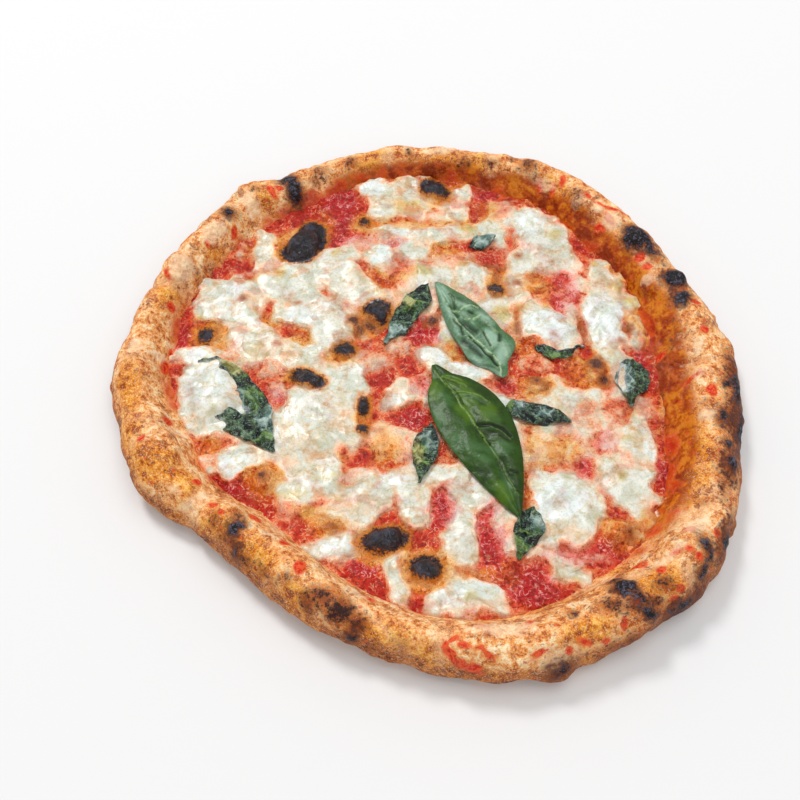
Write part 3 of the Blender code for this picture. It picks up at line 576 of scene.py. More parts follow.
def crust_finish():
    finish = new_finish("baked_crust")
    broad, middle, fine, speck = grain(18, 3), grain(5, 4, 0.6), grain(1.9, 3, 0.6), grain(0.9, 2)
    relief_and_shade = frayed(middle, (fine, 0.7), (speck, 0.25))
    oil, foot, gold, side = (kept(name) for name in ("oil", "foot", "gold", "side"))

    # The colour follows the relief of the bumps: painted shade, darker and browner, in the hollows and
    # paler painted light on the ridges, over the crust's own golden and honey tones.
    colour = ramp(
        relief_and_shade, (0.30, (180, 86, 22)), (0.44, (230, 148, 74)), (0.55, (247, 190, 126)),
        (0.68, (254, 228, 184)),
    )
    honey = ramp(relief_and_shade, (0.32, (150, 64, 0)), (0.47, (220, 130, 14)), (0.66, (248, 182, 78)))
    golden = eased(frayed(gold, (broad, 12), (middle, 8), (fine, 3)), -3.0, 2.5, 0.95)
    colour = blended(golden, colour, honey)
    # Darker and browner low on the rim's outer side: partly browning in the oven, partly painted shade on
    # the side that faces down and out.
    toast_and_shade = ramp(relief_and_shade, (0.34, (104, 48, 12)), (0.48, (178, 94, 22)), (0.66, (226, 146, 58)))
    baked_and_shaded = eased(frayed(side, (broad, 0.9), (middle, 0.7)), 0.25, 0.9)
    colour = blended(baked_and_shaded, colour, toast_and_shade)
    colour = blended(kept("creased"), colour, blended(0.5, colour, (244, 200, 150)))

    clusters = grain(11, 3, 0.6)
    patches = eased(frayed(grain(4, 3, 0.6), (clusters, 0.9), (fine, 0.5)), 0.58, 0.70, 0.8)
    colour = blended(patches, colour, (172, 88, 26))
    speckled = frayed(grain(2.2, 2), (clusters, 0.7), (speck, 0.4))
    colour = blended(eased(speckled, 0.66, 0.76, 0.8), colour, (132, 62, 20))
    dots = product(eased(frayed(cells(3.8), (speck, 0.3)), 0.24, 0.10), eased(clusters, 0.48, 0.6, 0.75))
    colour = blended(dots, colour, (138, 66, 26))

    dust = grain(0.65, 1)
    colour = tinted(eased(dust, 0.5, 0.32, 0.35), colour, (206, 164, 124))
    colour = blended(eased(dust, 0.54, 0.70, 0.35), colour, (255, 240, 212))

    oily = frayed(broad, (middle, 0.9), (fine, 0.35))
    amber = ramp(oily, (0.36, (136, 38, 0)), (0.5, (178, 72, 0)), (0.64, (212, 122, 14)))
    soaked = eased(frayed(oil, (broad, 1.0), (middle, 1.3), (fine, 0.7)), 0.25, 0.75, 0.96)
    colour = blended(soaked, colour, amber)

    reddened = eased(frayed(foot, (broad, 1.2), (middle, 0.7)), 0.45, 0.9, 0.95)
    colour = blended(reddened, colour, blended(eased(middle, 0.42, 0.62), (206, 78, 22), (158, 30, 4)))
    saucy = frayed(kept("sauce"), (broad, 8), (middle, 11), (fine, 5), (speck, 2))
    smear = ramp(saucy, (-1.0, (222, 108, 44)), (1.5, (214, 74, 22)), (4.0, (192, 40, 10)))
    # Pale pink flecks on the smear are painted highlights of the wet sauce.
    smear = blended(eased(frayed(fine, (speck, 0.8)), 0.56, 0.68, 0.5), smear, (232, 120, 100))
    colour = blended(eased(saucy, -3.0, 3.0, 0.85), colour, smear)
    cheesy = eased(frayed(kept("cheese"), (middle, 5), (fine, 4)), -0.3, 1.5)
    colour = blended(product(cheesy, eased(saucy, 1.0, -1.0)), colour, (236, 210, 178))

    red = eased(frayed(kept("tomato"), (fine, 3), (speck, 1.5)), -0.6, 0.5)
    colour = blended(red, colour, blended(eased(fine, 0.42, 0.58), (202, 36, 10), (230, 92, 46)))
    strewn = product(eased(cells(7), 0.22, 0.10), eased(broad, 0.46, 0.56, 0.8))
    colour = blended(strewn, colour, (214, 84, 36))
    floured = eased(frayed(kept("flour"), (middle, 6), (fine, 4)), -1.0, 2.5, 0.5)
    colour = blended(floured, colour, (248, 222, 186))

    browned = kept("brown")
    toasted = eased(frayed(browned, (middle, 10), (fine, 8)), -2.0, 3.5, 0.85)
    colour = blended(toasted, colour, (142, 68, 28))
    darker = eased(frayed(browned, (middle, 14), (fine, 16), (dust, 8)), 0.4, 6.0, 0.95)
    colour = blended(darker, colour, (40, 16, 18))
    charred = kept("char")
    colour = blended(eased(frayed(charred, (middle, 7), (fine, 7)), -4.0, 0.0, 0.9), colour, (104, 48, 22))
    # Black char with bluish grey patches of painted sheen.
    char_and_sheen = blended(eased(frayed(fine, (dust, 0.6)), 0.46, 0.7), (20, 13, 17), (84, 80, 94))
    colour = blended(eased(frayed(charred, (middle, 4), (fine, 5), (speck, 3)), -0.9, 0.9), colour, char_and_sheen)

    leopard = eased(frayed(grain(14, 3), (middle, 0.7)), 0.53, 0.62, 0.9)
    under_colour = blended(leopard, (232, 196, 148), (110, 66, 38))
    colour = blended(kept("underside"), colour, under_colour)

    surface({
        "Base Color": colour, "Roughness": eased(frayed(oil, (fine, 0.8)), 0.9, 0.0, 0.6),
        "Normal": bumps(frayed(middle, (fine, 0.4), (speck, 0.1)), 1.9, 0.8), "Specular IOR Level": 0.22,
    })
    return finish


show(crust_mesh, crust_finish(), "crust", "dough")


# The sauce: crushed tomato spread thin on the dough, red where it lies bare, orange where oil has
# risen, pale where cheese has melted over it. Bubbles of dough have pushed up through it and burnt
# black. It is a fine sheet with those blisters raised on it.

# Blisters end with their rise. The other lists tint the toppings: charred, toasted, deep red, oily,
# cheese at its whitest and yellowest, sauce under a thin veil of cheese, cheese stained by sauce, and
# the bare golden rings round the blisters.
BLISTERS = (
    (-64, 84, 12, 9.5, 60, 7.0), (7, 124, 8, 6.5, -30, 5.0), (-32, 101, 3.5, 3, 0, 2.0),
    (-109, 24, 6, 5, 0, 3.0), (-24, 38, 7.5, 6.5, 0, 5.0), (-35, 30, 5, 6, 0, 3.0),
    (-40, 14, 5.5, 4.5, 0, 3.5), (-58, -3, 8, 5.5, -15, 4.5), (-30, -18, 3, 4, 0, 2.2),
    (-30, -31, 4, 4, 0, 2.5), (37, 52, 4, 4, 0, 3.0), (36, 67, 5, 3.5, 0, 2.0), (83, 3, 5.5, 7.5, 10, 4.0),
    (54, -5, 6.5, 5.5, 0, 3.0), (-19.5, -88, 9, 6.4, 12, 5.0), (-1, -103, 7, 6.5, 0, 5.0),
    (-75, -58, 7, 6, 0, 4.0), (85, -83, 6.5, 5.5, 20, 3.5), (-44, -82, 4, 3, 0, 2.0),
    (-62, 22, 5, 4, 0, 2.2), (107, 31, 6, 7.5, 0, 2.8), (36, -103, 4.5, 4, 0, 2.2),
)
BURNT = (
    (-60, 93, 7, 8.5, -10), (-66, 80, 9, 8), (-61, 86, 9.5, 7.5, 50), (6, 127, 7, 6, -20),
    (10, 124, 5, 4.5), (-32, 102, 2.2, 2.4), (-110, 25, 3.4, 4.2), (-24, 41, 6.2, 5.6), (-22, 35, 2.6, 2.6),
    (-40, 15.5, 4.6, 3.8, 10), (-59, -1, 6, 4.4, -20), (-53, -4, 4, 3.4, -30), (-30, -18, 2, 4),
    (-30, -31, 1.8, 1.8), (37, 54, 3.2, 3.6), (-19, -87.5, 9.4, 5.8, 12), (-1, -101, 6.2, 5.4),
)
BROWNED = (
    (-36, 33, 4.2, 5), (-33, 28, 3, 4), (-27, 31, 5, 3, -20), (84, 6, 4.6, 5), (87, -2, 3, 4),
    (54, -4, 4, 2.6, -30), (58, -7, 2, 2), (-75, -57, 3, 3), (-43, -81.5, 2.8, 1.6), (89, -84, 3, 1.8),
    (36, 70, 7, 1.8, -10), (38, 60, 4, 2, 90), (-106, 28, 2.4, 2), (4, 34, 5, 3, 30), (50, 76, 2, 1.6),
    (49, 58, 2, 1.4), (-93, 47, 2.4, 2.4), (-65, 44, 1.6, 1.4), (-74, 18, 1.8, 1.6), (98, 20, 2, 1.6),
    (90, -86, 2, 3), (21, 9, 4, 1.4, -35), (79, 30, 1.2, 6, 10), (103, 28, 2, 2), (47, 30, 1.6, 5),
)
CRIMSON = (
    (-45, 112, 8, 16), (-44, 88, 12, 4), (0, 28, 9, 9), (8, -72, 7, 10), (28, -84, 6, 16),
    (44, -109, 11, 8), (74, 52, 7, 13), (-92, -62, 8, 3), (72, -46, 4, 9), (-5, -24, 5, 5),
    (-122, 24, 4, 6), (68, -95, 14, 4), (-74, -12, 4, 4), (40, -7, 4, 4), (110, -52, 5, 6), (-14, 86, 6, 5),
    (-47, 130, 6, 5), (-12, 147, 6, 4), (25, -104, 6, 4), (84, -37, 4, 6), (-30, -100, 5, 4),
    (107, 5, 4, 8), (-2, -6, 4, 6), (36, 123, 8, 4),
)
ORANGE = (
    (-74, 84, 6, 12, -20), (-54, 100, 6, 9), (7, 122, 11, 9), (2, 114, 8, 6), (-32, 100, 7, 7),
    (-20, 103, 5, 3), (-108, 24, 11, 7, -10), (-30, 32, 10, 9), (-12, 40, 10, 5), (-43, 13, 8, 6, 20),
    (-59, -3, 10, 6, -20), (-30, -28, 5, 9), (40, 60, 5, 10), (74, 4, 9, 6, -30), (80, -4, 9, 4),
    (52, -7, 8, 6), (-22, -91, 10, 6), (-12, -89, 5, 5), (0, -102, 9, 8), (-75, -60, 9, 8, -30),
    (-44, -80, 9, 5), (-52, -75, 6, 4), (87, -85, 9, 8, -20), (36, -104, 4, 5), (50, -40, 5, 12),
    (62, -42, 12, 8), (50, 18, 6, 4), (106, 32, 4, 7), (14, 82, 8, 5), (-20, 62, 8, 5, -40),
    (-20, -40, 8, 10), (56, 60, 7, 5), (18, 101, 12, 4), (-3, 100, 12, 3), (34, 110, 6, 9), (-62, 23, 7, 5),
    (-78, 33, 4, 6, 30), (60, 55, 10, 5), (-104, -40, 6, 5), (-80, -40, 4, 4), (20, -104, 10, 4),
    (98, -84, 7, 5), (-86, 14, 4, 5), (14, 12, 9, 3, -38), (86, 12, 3, 6, 20), (46, 30, 3, 8),
    (-92, 84, 4, 6), (10, -100, 8, 3), (-38, 60, 3, 3), (-10, 62, 6, 4), (-25, 50, 4, 5), (-44, -46, 4, 3),
    (44, -68, 2.4, 9), (-14, 30, 6, 3),
)
WHITEST = (
    (-108, -8, 13, 12), (-100, 52, 10, 6), (-113, 13, 6, 5), (-64, 35, 14, 4), (-22, 76, 7, 7),
    (-90, -50, 9, 8), (-40, -91, 8, 5), (-28, 128, 9, 8), (-88, -19, 7, 3), (62, 30, 12, 10),
    (91, 38, 11, 11), (10, -113, 10, 5), (24, -112, 10, 4), (25, 2, 12, 4, -30), (37, -22, 4, 9),
    (12, 8, 9, 5), (60, -68, 12, 11), (-16, -58, 8, 4), (105, -42, 5, 9), (106, -58, 5, 5), (50, -72, 5, 8),
    (92, 26, 7, 10), (-12, 94, 9, 4), (58, 98, 9, 9),
)
YELLOWED = (
    (-115, 36, 3, 3), (71, 90, 4, 4), (63, 46, 3.4, 3.4), (50, 42, 5, 2.4), (93, -36, 3, 2.4),
    (18, -115, 2.6, 2.2), (65, -106, 4, 2), (-52, -74, 6, 3.4), (-89, 62, 4, 2.6), (68, -4, 2, 3.4),
    (98, -21, 4, 2.6), (100, -76, 5, 5, -30), (90, 71, 3, 2.6), (-47, 79, 2.6, 4), (22, 72, 4, 4),
    (-6, 44, 7, 5), (-8, 112, 9, 6), (24, 98, 6, 6), (88, -57, 3, 3), (40, 38, 5, 5), (13, 18, 3, 8, 20),
    (-2, 66, 7, 4), (-45, -56, 7, 1.4, 15), (59, 63, 4, 3), (103, 56, 6, 5), (106, 46, 5, 4),
    (-62, -66, 5, 3), (-75, 66, 4, 5), (-40, -67, 3, 1.6),
)
VEILED = (
    (62, -42, 17, 8), (49, -38, 6, 13), (77, -24, 5, 8), (86, -36, 4, 6), (54, 8, 9, 6), (-12, 19, 6, 6),
    (-20, -36, 8, 11), (-14, -40, 8, 8), (-31, 12, 7, 5), (25, 50, 9, 5), (46, 57, 9, 8), (57, 58, 7, 5),
    (14, 76, 12, 6, 20), (-12, 65, 9, 6, -20), (-28, 88, 15, 4), (-4, 100, 15, 3), (42, 112, 8, 8),
    (20, 116, 5, 6), (8, 108, 8, 4), (90, -21, 4, 6), (97, -83, 8, 5, -30), (68, -96, 13, 2.4),
    (107, 33, 6, 8), (111, 22, 6, 4), (-60, -74, 9, 4), (-42, -72, 8, 4), (44, -49, 5, 6), (35, -50, 4, 6),
    (34, -79, 4, 6), (14, -103, 11, 3), (-2, -4, 5, 8), (66, -28, 7, 5), (99, -50, 7, 3), (-97, 84, 5, 6),
    (-77, 3, 6, 5), (-72, -6, 4, 8, -20), (14, 14, 9, 2, -38), (-42, 22, 5, 4), (76, 44, 4, 8),
    (-102, -48, 4, 6), (-24, 10, 5, 6), (47, 26, 3, 7),
)
STAINED = (
    (-76, 14, 13, 7), (-92, 46, 8, 6), (-68, 46, 8, 6), (-50, 50, 7, 7), (28, 58, 8, 6), (5, 70, 10, 6),
    (-10, 116, 8, 12), (24, 106, 6, 6), (60, 50, 8, 5), (40, 44, 6, 5), (-34, -70, 14, 6), (-8, 54, 9, 5),
    (-84, 74, 5, 10), (102, 50, 8, 6), (70, 78, 6, 8), (90, 54, 12, 4), (-32, 58, 6, 6), (-104, 62, 6, 4),
    (2, 84, 8, 4), (-48, 8, 8, 5), (-26, -56, 6, 6), (82, -34, 10, 5), (-78, -40, 4, 8), (-96, 30, 8, 4),
)
RINGS = (
    (-1, -102, 12, 10.5), (-21, -89, 13, 10, 10), (7, 122, 11, 9, -20), (-32, 101, 6, 5), (-109, 25, 10, 8),
    (-26, 36, 11, 9), (-42, 14, 9, 7, 10), (-58, -2, 11, 7, -15), (-30, -22, 4.5, 10), (38, 58, 6, 11),
    (80, 3, 11, 9, -20), (54, -6, 9, 7), (-75, -57, 9, 8, -20), (87, -84, 9, 7, -20), (-65, 86, 14, 12, 60),
    (-44, -81, 8, 4), (-60, 22, 6, 3),
)
SAUCE_TOP = 5.4
SAUCE_UNDER = 3.7
SAUCE_STEPS = 312
SHEET_REACH = 4.5
SHEET_EDGE = 0.8
EDGE_SWELLINGS = ((1.5, 14, 37), (1.4, 5, 38), (0.6, 2.5, 39))

# Depth in cheese less depth in sauce: its limits, and where a veil, a stain and a ring draw it to.
MELT_DEPTHS = (-7, 5.4)
VEIL_DEPTH, VEIL_SHARE = 1.2, 0.85
STAIN_DEPTH, STAIN_SHARE = 3.2, 0.75
RING_DEPTH, RING_SHARE, RING_OIL = -0.6, 0.85, 8
CHEESE_RISE = 2.1


def disc(name, steps):
    """A flat disc of radius 1 in even squares, made from a square grid drawn into a circle."""
    bm = bmesh.new()
    bmesh.ops.create_grid(bm, x_segments=steps, y_segments=steps, size=1)
    mesh = bpy.data.meshes.new(name)
    bm.to_mesh(mesh)
    bm.free()
    a, b = points_of(mesh)[:, :2].T * MM
    wide = np.abs(a) > np.abs(b)
    reach = np.where(wide, a, b)
    ratio = np.where(wide, b, a) / np.where(reach == 0, 1, reach)
    angle = np.where(wide, math.pi / 4 * ratio, math.pi / 2 - math.pi / 4 * ratio)
    return mesh, reach * np.cos(angle), reach * np.sin(angle)


def close_below(mesh, floor):
    """Gives a sheet a wall round its edge, down to a level, and closes it below."""
    bm = bmesh.new()
    bm.from_mesh(mesh)
    rim_edges = [edge for edge in bm.edges if edge.is_boundary]
    wall = bmesh.ops.extrude_edge_only(bm, edges=rim_edges)["geom"]
    for item in wall:
        if isinstance(item, bmesh.types.BMVert):
            item.co.z = floor * MM
    bmesh.ops.contextual_create(bm, geom=[edge for edge in bm.edges if edge.is_boundary])
    bmesh.ops.recalc_face_normals(bm, faces=bm.faces)
    bm.to_mesh(mesh)
    bm.free()


def flat_spots(spots):
    """Spots on the toppings, which lie so low that a place seen there is its own place."""
    return [((x, y, SAUCE_TOP), *rest) for x, y, *rest in spots]


def depths(points, **lists):
    """How deep each point lies in each of some lists of spots on the toppings."""
    return {name: depth_in(points, flat_spots(spots)) for name, spots in lists.items()}


def topping_fields(x, y):
    """What shows at each place on the toppings: how deep it lies in cheese and sauce, and their tints."""
    flat = np.stack([x, y, np.full_like(x, SAUCE_TOP)], axis=1)
    loose = wander(wander(flat, 10, 2.6, 5), 3.6, 1.1, 6)
    close = wander(flat, 3, 0.8, 7)
    lying = depths(
        loose, cheese=CHEESE, sauce=SAUCE, veiled=VEILED, stained=STAINED, ringed=RINGS, oily=ORANGE,
    )
    melt = np.clip(lying["cheese"] - lying["sauce"], *MELT_DEPTHS)
    veiled = VEIL_SHARE * smooth_step(-3, 2, lying["veiled"])
    stained = STAIN_SHARE * smooth_step(-3, 3, lying["stained"])
    melt += veiled * (VEIL_DEPTH - melt) + stained * (1 - veiled) * (np.minimum(melt, STAIN_DEPTH) - melt)
    ringed = smooth_step(-2, 2.5, lying["ringed"])
    melt += RING_SHARE * ringed * (RING_DEPTH - melt)
    turn = np.degrees(np.arctan2(y, x))
    by_rim = smooth_step(9, 2, foot_radius(turn) + SHEET_REACH - np.hypot(x, y))
    wide = on_wide_side(turn)
    melt -= by_rim * (0.6 + 2.6 * wide + 7 * ripple(flat, 7, 39))
    oiled_rim = 9 * by_rim * wide * (0.8 + ripple(flat, 9, 40))
    return {
        "melt": melt,
        "orange": lying["oily"] + oiled_rim + RING_OIL * ringed,
        **depths(loose, crimson=CRIMSON, whitest=WHITEST, yellowed=YELLOWED),
        **depths(close, char=BURNT, brown=BROWNED),
    }


def blister_height(x, y):
    height = np.zeros(len(x))
    for bx, by, half_length, half_width, angle, rise in BLISTERS:
        c, s = math.cos(math.radians(angle)), math.sin(math.radians(angle))
        dx, dy = x - bx, y - by
        away = np.hypot((dx * c + dy * s) / half_length, (dy * c - dx * s) / half_width)
        dome = rise * np.sqrt(np.clip(1 - away ** 2, 0, 1))
        height = np.maximum(height, dome * smooth_step(1.12, 0.7, away))
    return height


def melted_height(x, y, fields):
    """How high the toppings lie without their blisters: cheese stands a little above the bare sauce."""
    flat = np.stack([x, y, 0 * x], axis=1)
    cheese = smooth_step(-1.8, 1.8, fields["melt"] + 1.1 * ripple(flat, 5, 36))
    height = SAUCE_TOP + (0.50 + 0.7 * cheese) * ripple(flat, 9, 31)
    height += (0.50 - 0.38 * cheese) * ripple(flat, 4, 32)
    return height + (0.28 - 0.26 * cheese) * ripple(flat, 1.9, 33) + CHEESE_RISE * cheese


sauce_mesh, unit_x, unit_y = disc("sauce", SAUCE_STEPS)
share = np.hypot(unit_x, unit_y)
edge_radius = foot_radius(np.degrees(np.arctan2(unit_y, unit_x))) + SHEET_REACH
sauce_x, sauce_y = unit_x * edge_radius, unit_y * edge_radius
fields = topping_fields(sauce_x, sauce_y)
flat = np.stack([sauce_x, sauce_y, 0 * sauce_x], axis=1)
charred = smooth_step(-2, 1, fields["char"])
sauce_z = melted_height(sauce_x, sauce_y, fields)
sauce_z += smooth_step(0.86, 0.96, share) * ripples(flat, *EDGE_SWELLINGS)
blistered = blister_height(sauce_x, sauce_y) * (1 + 0.15 * ripple(flat, 3, 34))
sauce_z += blistered + 0.5 * charred * ripple(flat, 1.8, 35)
sauce_z -= smooth_step(0.985, 1.0, share) * (sauce_z - SAUCE_UNDER - SHEET_EDGE)
move_points(sauce_mesh, np.stack([sauce_x, sauce_y, sauce_z], axis=1))
store(sauce_mesh, **fields)
close_below(sauce_mesh, SAUCE_UNDER)


# Colours where the cheese thins out, from the deepest bare sauce to the thickest cheese.
MELT_STEPS = (-6, -3, -1.3, 0.2, 1.7, 3.4, 6)
RED_TO_WHITE = (
    (206, 38, 14), (234, 80, 38), (248, 134, 84), (250, 180, 140), (244, 206, 176), (229, 212, 186),
    (223, 224, 213),
)
CRIMSON_TO_WHITE = (
    (196, 26, 26), (228, 74, 64), (246, 134, 120), (248, 176, 164), (244, 202, 190), (229, 211, 198),
    (224, 224, 216),
)
GOLD_TO_WHITE = (
    (204, 78, 4), (228, 116, 16), (240, 152, 50), (246, 186, 104), (246, 206, 150), (240, 222, 190),
    (238, 234, 220),
)


def strokes(size, width):
    """Thin winding strokes where noise of that size passes through its middle."""
    return eased(maths("ABSOLUTE", maths("SUBTRACT", grain(size, 2, 0.5, 0.6), 0.5)), width, 0.0)


# How far red, green and blue light spread inside the cheese.
LIGHT_SPREAD = Vector((0.003, 0.0022, 0.0014))


def topping_finish(name, soft):
    """Sauce and cheese share one finish, because they run into each other without a line."""
    finish = new_finish(name)
    broad, middle = grain(15, 3, 0.55, 0.8), grain(5, 4, 0.6, 1.2)
    fine, speck = grain(2, 3, 0.6, 0.6), grain(0.9, 2)
    poured = frayed(kept("melt"), (middle, 4), (fine, 2.4), (speck, 1))
    melt = frayed(poured, (grain(12, 4, 0.6, 0.8), 13), (broad, 6))

    red, deep_red, gold = (
        ramp(melt, *zip(MELT_STEPS, colours)) for colours in (RED_TO_WHITE, CRIMSON_TO_WHITE, GOLD_TO_WHITE)
    )
    crimson = eased(frayed(kept("crimson"), (middle, 8)), -3, 2)
    colour = blended(crimson, red, deep_red)
    oiled = eased(frayed(kept("orange"), (broad, 8), (middle, 8), (fine, 3)), -3, 2.5, 0.9)
    colour = blended(oiled, colour, gold)
    # Painted glints: thin pale strokes where the wet sauce would catch the light.
    painted_glints = product(product(strokes(2.8, 0.05), eased(middle, 0.42, 0.58, 0.95)), eased(melt, 1.2, -1.5))
    colour = blended(painted_glints, colour, blended(crimson, (255, 190, 148), (255, 188, 186)))
    # Painted shade in the hollows of the bare sauce.
    hollow_shade = product(eased(frayed(fine, (middle, 0.8)), 0.46, 0.30, 0.8), eased(melt, 0.5, -2))
    colour = tinted(hollow_shade, colour, (170, 96, 80))
    white = product(eased(frayed(kept("whitest"), (middle, 6)), -1.5, 3, 0.9), eased(poured, 1.5, 4))
    colour = blended(white, colour, (232, 240, 240))
    yellow = eased(frayed(kept("yellowed"), (middle, 5), (fine, 4)), -1.4, 2.4, 0.7)
    colour = tinted(yellow, colour, (236, 210, 112))
    dust = grain(0.65, 1)
    stained, cloudy = frayed(grain(7, 2, 0.5, 0.5), (fine, 0.2)), grain(9, 2, 0.5, 0.6)
    for patches, where, tint in (
        (eased(stained, 0.50, 0.34, 0.8), eased(melt, 7.5, 3.0), (238, 208, 178)),
        (strokes(13, 0.035), eased(melt, 1.0, 3.0, 0.5), (234, 220, 176)),
        (eased(grain(11, 2, 0.5, 0.6), 0.48, 0.64, 0.8), eased(melt, 8.0, 2.0), (228, 196, 200)),
        (eased(cloudy, 0.58, 0.38, 0.7), eased(melt, 1.5, 4.5), (218, 222, 212)),
        # Painted shade in the hollows of thin cheese.
        (eased(frayed(fine, (speck, 0.8)), 0.54, 0.36, 0.6), eased(melt, 0.5, 3.0), (232, 228, 212)),
        (eased(dust, 0.5, 0.32), eased(melt, 5, -1, 0.7), (206, 176, 150)),
    ):
        colour = tinted(product(patches, where), colour, tint)
    tan = product(eased(frayed(cells(8), (speck, 0.3)), 0.2, 0.08), eased(broad, 0.5, 0.58, 0.5))
    colour = blended(tan, colour, (196, 150, 96))

    browned = frayed(kept("brown"), (middle, 3), (fine, 4))
    colour = blended(eased(browned, -2.0, 0.8, 0.8), colour, (176, 96, 40))
    colour = blended(eased(frayed(browned, (speck, 3)), 0.4, 2.6, 0.9), colour, (76, 40, 36))
    charred = kept("char")
    halo = eased(frayed(charred, (middle, 6), (fine, 3)), -3.6, -0.6, 0.92)
    colour = blended(halo, colour, (206, 120, 24))
    scorched = eased(frayed(charred, (fine, 4), (speck, 3)), -1.6, -0.2)
    colour = blended(scorched, colour, (84, 36, 16))
    # Black char with bluish grey patches of painted sheen.
    char_and_sheen = blended(eased(middle, 0.45, 0.66), (18, 14, 20), (60, 60, 74))
    colour = blended(eased(frayed(charred, (fine, 3), (speck, 3.5)), -0.7, 0.5), colour, char_and_sheen)

    dull = eased(frayed(fine, (middle, 0.4)), 0.1, 1.1, 0.5)
    bits = product(frayed(middle, (fine, 0.7), (dust, 0.25)), eased(kept("melt"), 3.5, -0.5))
    relief = frayed(bits, (grain(16, 1.5, 0.5, 0.5), 0.7), (fine, 0.05), (dust, 0.03))
    surface({
        "Base Color": colour, "Roughness": frayed(dull, (eased(kept("melt"), 0, 4), 0.2)),
        "Normal": bumps(relief, 2.4, 0.9), "Specular IOR Level": 0.5, "Subsurface Weight": soft,
        "Subsurface Radius": LIGHT_SPREAD, "Subsurface Scale": 1.0,
    })
    return finish


show(sauce_mesh, topping_finish("tomato_sauce", 0.0), "sauce", "tomato_sauce")


# The mozzarella: torn pieces that melted into low cream-white pools with soft edges and ran into
# each other. Each pool is a fine disc drawn out a little beyond its solid's outline.
SOFTNESS = 0.12
POOL_SPREAD = 2.4
POOL_STEP = 0.55
POOL_TURNS = 14
POOL_LIP = 0.35
POOL_WALL = 0.8
CHAR_DIP = 2.2


def pool_shape(node_name, number):
    """A piece of mozzarella's centre, its reach in each direction and its thickness, from its solid."""
    points = points_of(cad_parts[node_name].data)
    centre = (points[:, :2].min(axis=0) + points[:, :2].max(axis=0)) / 2
    away = points[:, :2] - centre
    even = np.arange(0, 360, 5.0)
    outline = by_turn(away[:, 0], away[:, 1], np.hypot(away[:, 0], away[:, 1]), POOL_TURNS)(even)
    ring = np.stack([np.cos(np.radians(even)), np.sin(np.radians(even)), 0 * even], axis=1)
    lobes = ripples(ring, (1.3, 0.6, number), (0.7, 0.3, number + 0.5))
    return centre, even, outline + POOL_SPREAD + lobes, points[:, 2].max() - SAUCE_TOP


mozzarella_finish = topping_finish("melted_mozzarella", SOFTNESS)

for number, name in enumerate(sorted(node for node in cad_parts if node.startswith("mozzarella"))):
    centre, even, out, thickness = pool_shape(name, number)
    mesh, unit_x, unit_y = disc(f"melted_{name}", int(2 * out.mean() * 0.89 / POOL_STEP))
    reach = np.interp(np.degrees(np.arctan2(unit_y, unit_x)) % 360, even, out, period=360)
    x, y = centre[0] + unit_x * reach, centre[1] + unit_y * reach
    fields = topping_fields(x, y)
    flat = np.stack([x, y, 0 * x], axis=1)
    depth = reach * (1 - np.hypot(unit_x, unit_y))
    dome = smooth_step(0, 10, depth)
    rise = max(thickness - 1.4, 0.8) * dome * (1 + 0.5 * ripple(flat, 8, 41))
    z = melted_height(x, y, fields) - POOL_LIP * smooth_step(2.0, 0, depth)
    z += rise + 0.1 * dome * ripple(flat, 3.5, 42)
    z -= CHAR_DIP * smooth_step(-2.5, 0, fields["char"])
    move_points(mesh, np.stack([x, y, z], axis=1))
    store(mesh, **fields)
    close_below(mesh, SAUCE_TOP - POOL_WALL)
    show(mesh, mozzarella_finish, "mozzarella", name)


# The basil that went into the oven: leaves shrunk and crinkled by the heat, almost black, with oil
# shining on the folds and cheese run over parts of them. Their colour follows the crinkles, with painted
# shade in the folds and painted light and glints on the ridges. Each is a finer copy of its solid with
# the crinkles pushed into it.
# Grey-green patches on the leaves: partly their own colour, partly painted sheen, pale and bluish on the
# ridges.
LEAF_SAGE_AND_SHEEN = (
    (-15, 24, 8, 6, 50), (-76, -25, 4, 9, 10), (98, -3, 3.4, 8, 5), (-88, -12, 2, 4), (50, -81, 5, 4),
    (32, 87, 6, 4, 20), (1, -38, 4, 6), (44, -18, 3, 5), (56, -22, 4, 3), (-80, 0, 3, 5, 30),
    (-85, -14, 4, 3), (-72, -35, 2, 6, 10),
)
LEAF_GREEN = (
    (-82, -14, 4, 8, 25), (40, -92, 4, 6), (-6, 42, 6, 5, 40), (-2, -46, 4, 8), (66, 12, 8, 3),
    (40, -18, 3, 4), (46, -84, 6, 2), (-88, 4, 5, 5), (94, -12, 3, 4), (-106, 8, 8, 2, 40),
    (-75, -38, 4, 4),
)
LEAF_YELLOW = (
    (-96, 8, 4.6, 4.6, -30), (-93, 3, 4, 4), (-4, -44, 2, 7), (-8, 44, 4, 3),
)
LEAF_CHEESE = (
    (-110, -4, 11, 11), (-107, 1.5, 8, 4.6, 32), (-107, -15, 13, 9, -8), (-93, -16, 9, 3.4, -25),
    (-98, -8, 4, 7), (-103, -30, 8, 6), (95.6, -2, 2.0, 8, 5), (68, 23.5, 13, 7.5), (56, 24, 5, 5),
)
WILTED_LEVELS = 3
CRINKLE = 1.1
UNDER_CHEESE = 1.4
WILTED_ROUGHNESS = 0.2
# These colours and those of the patches below follow the crinkles, from the bottom of a fold to its ridge:
# painted shade, near black, in the folds and painted light on the ridges.
WILTED_FOLD_SHADE = ((-0.6, (8, 11, 13)), (0.0, (22, 34, 28)), (0.45, (50, 76, 44)), (0.9, (116, 140, 106)))
WILTED_PATCHES = (
    ("sage", 6, 5, -1.5, ((-0.8, (44, 62, 60)), (-0.1, (98, 128, 120)), (0.7, (190, 212, 206)))),
    ("green", 6, 5, -1.2, ((-0.8, (22, 40, 14)), (0.0, (54, 88, 26)), (0.6, (112, 142, 60)))),
    ("yellow", 4, 4, -0.8, ((-0.6, (132, 124, 50)), (0.4, (208, 200, 130)))),
)


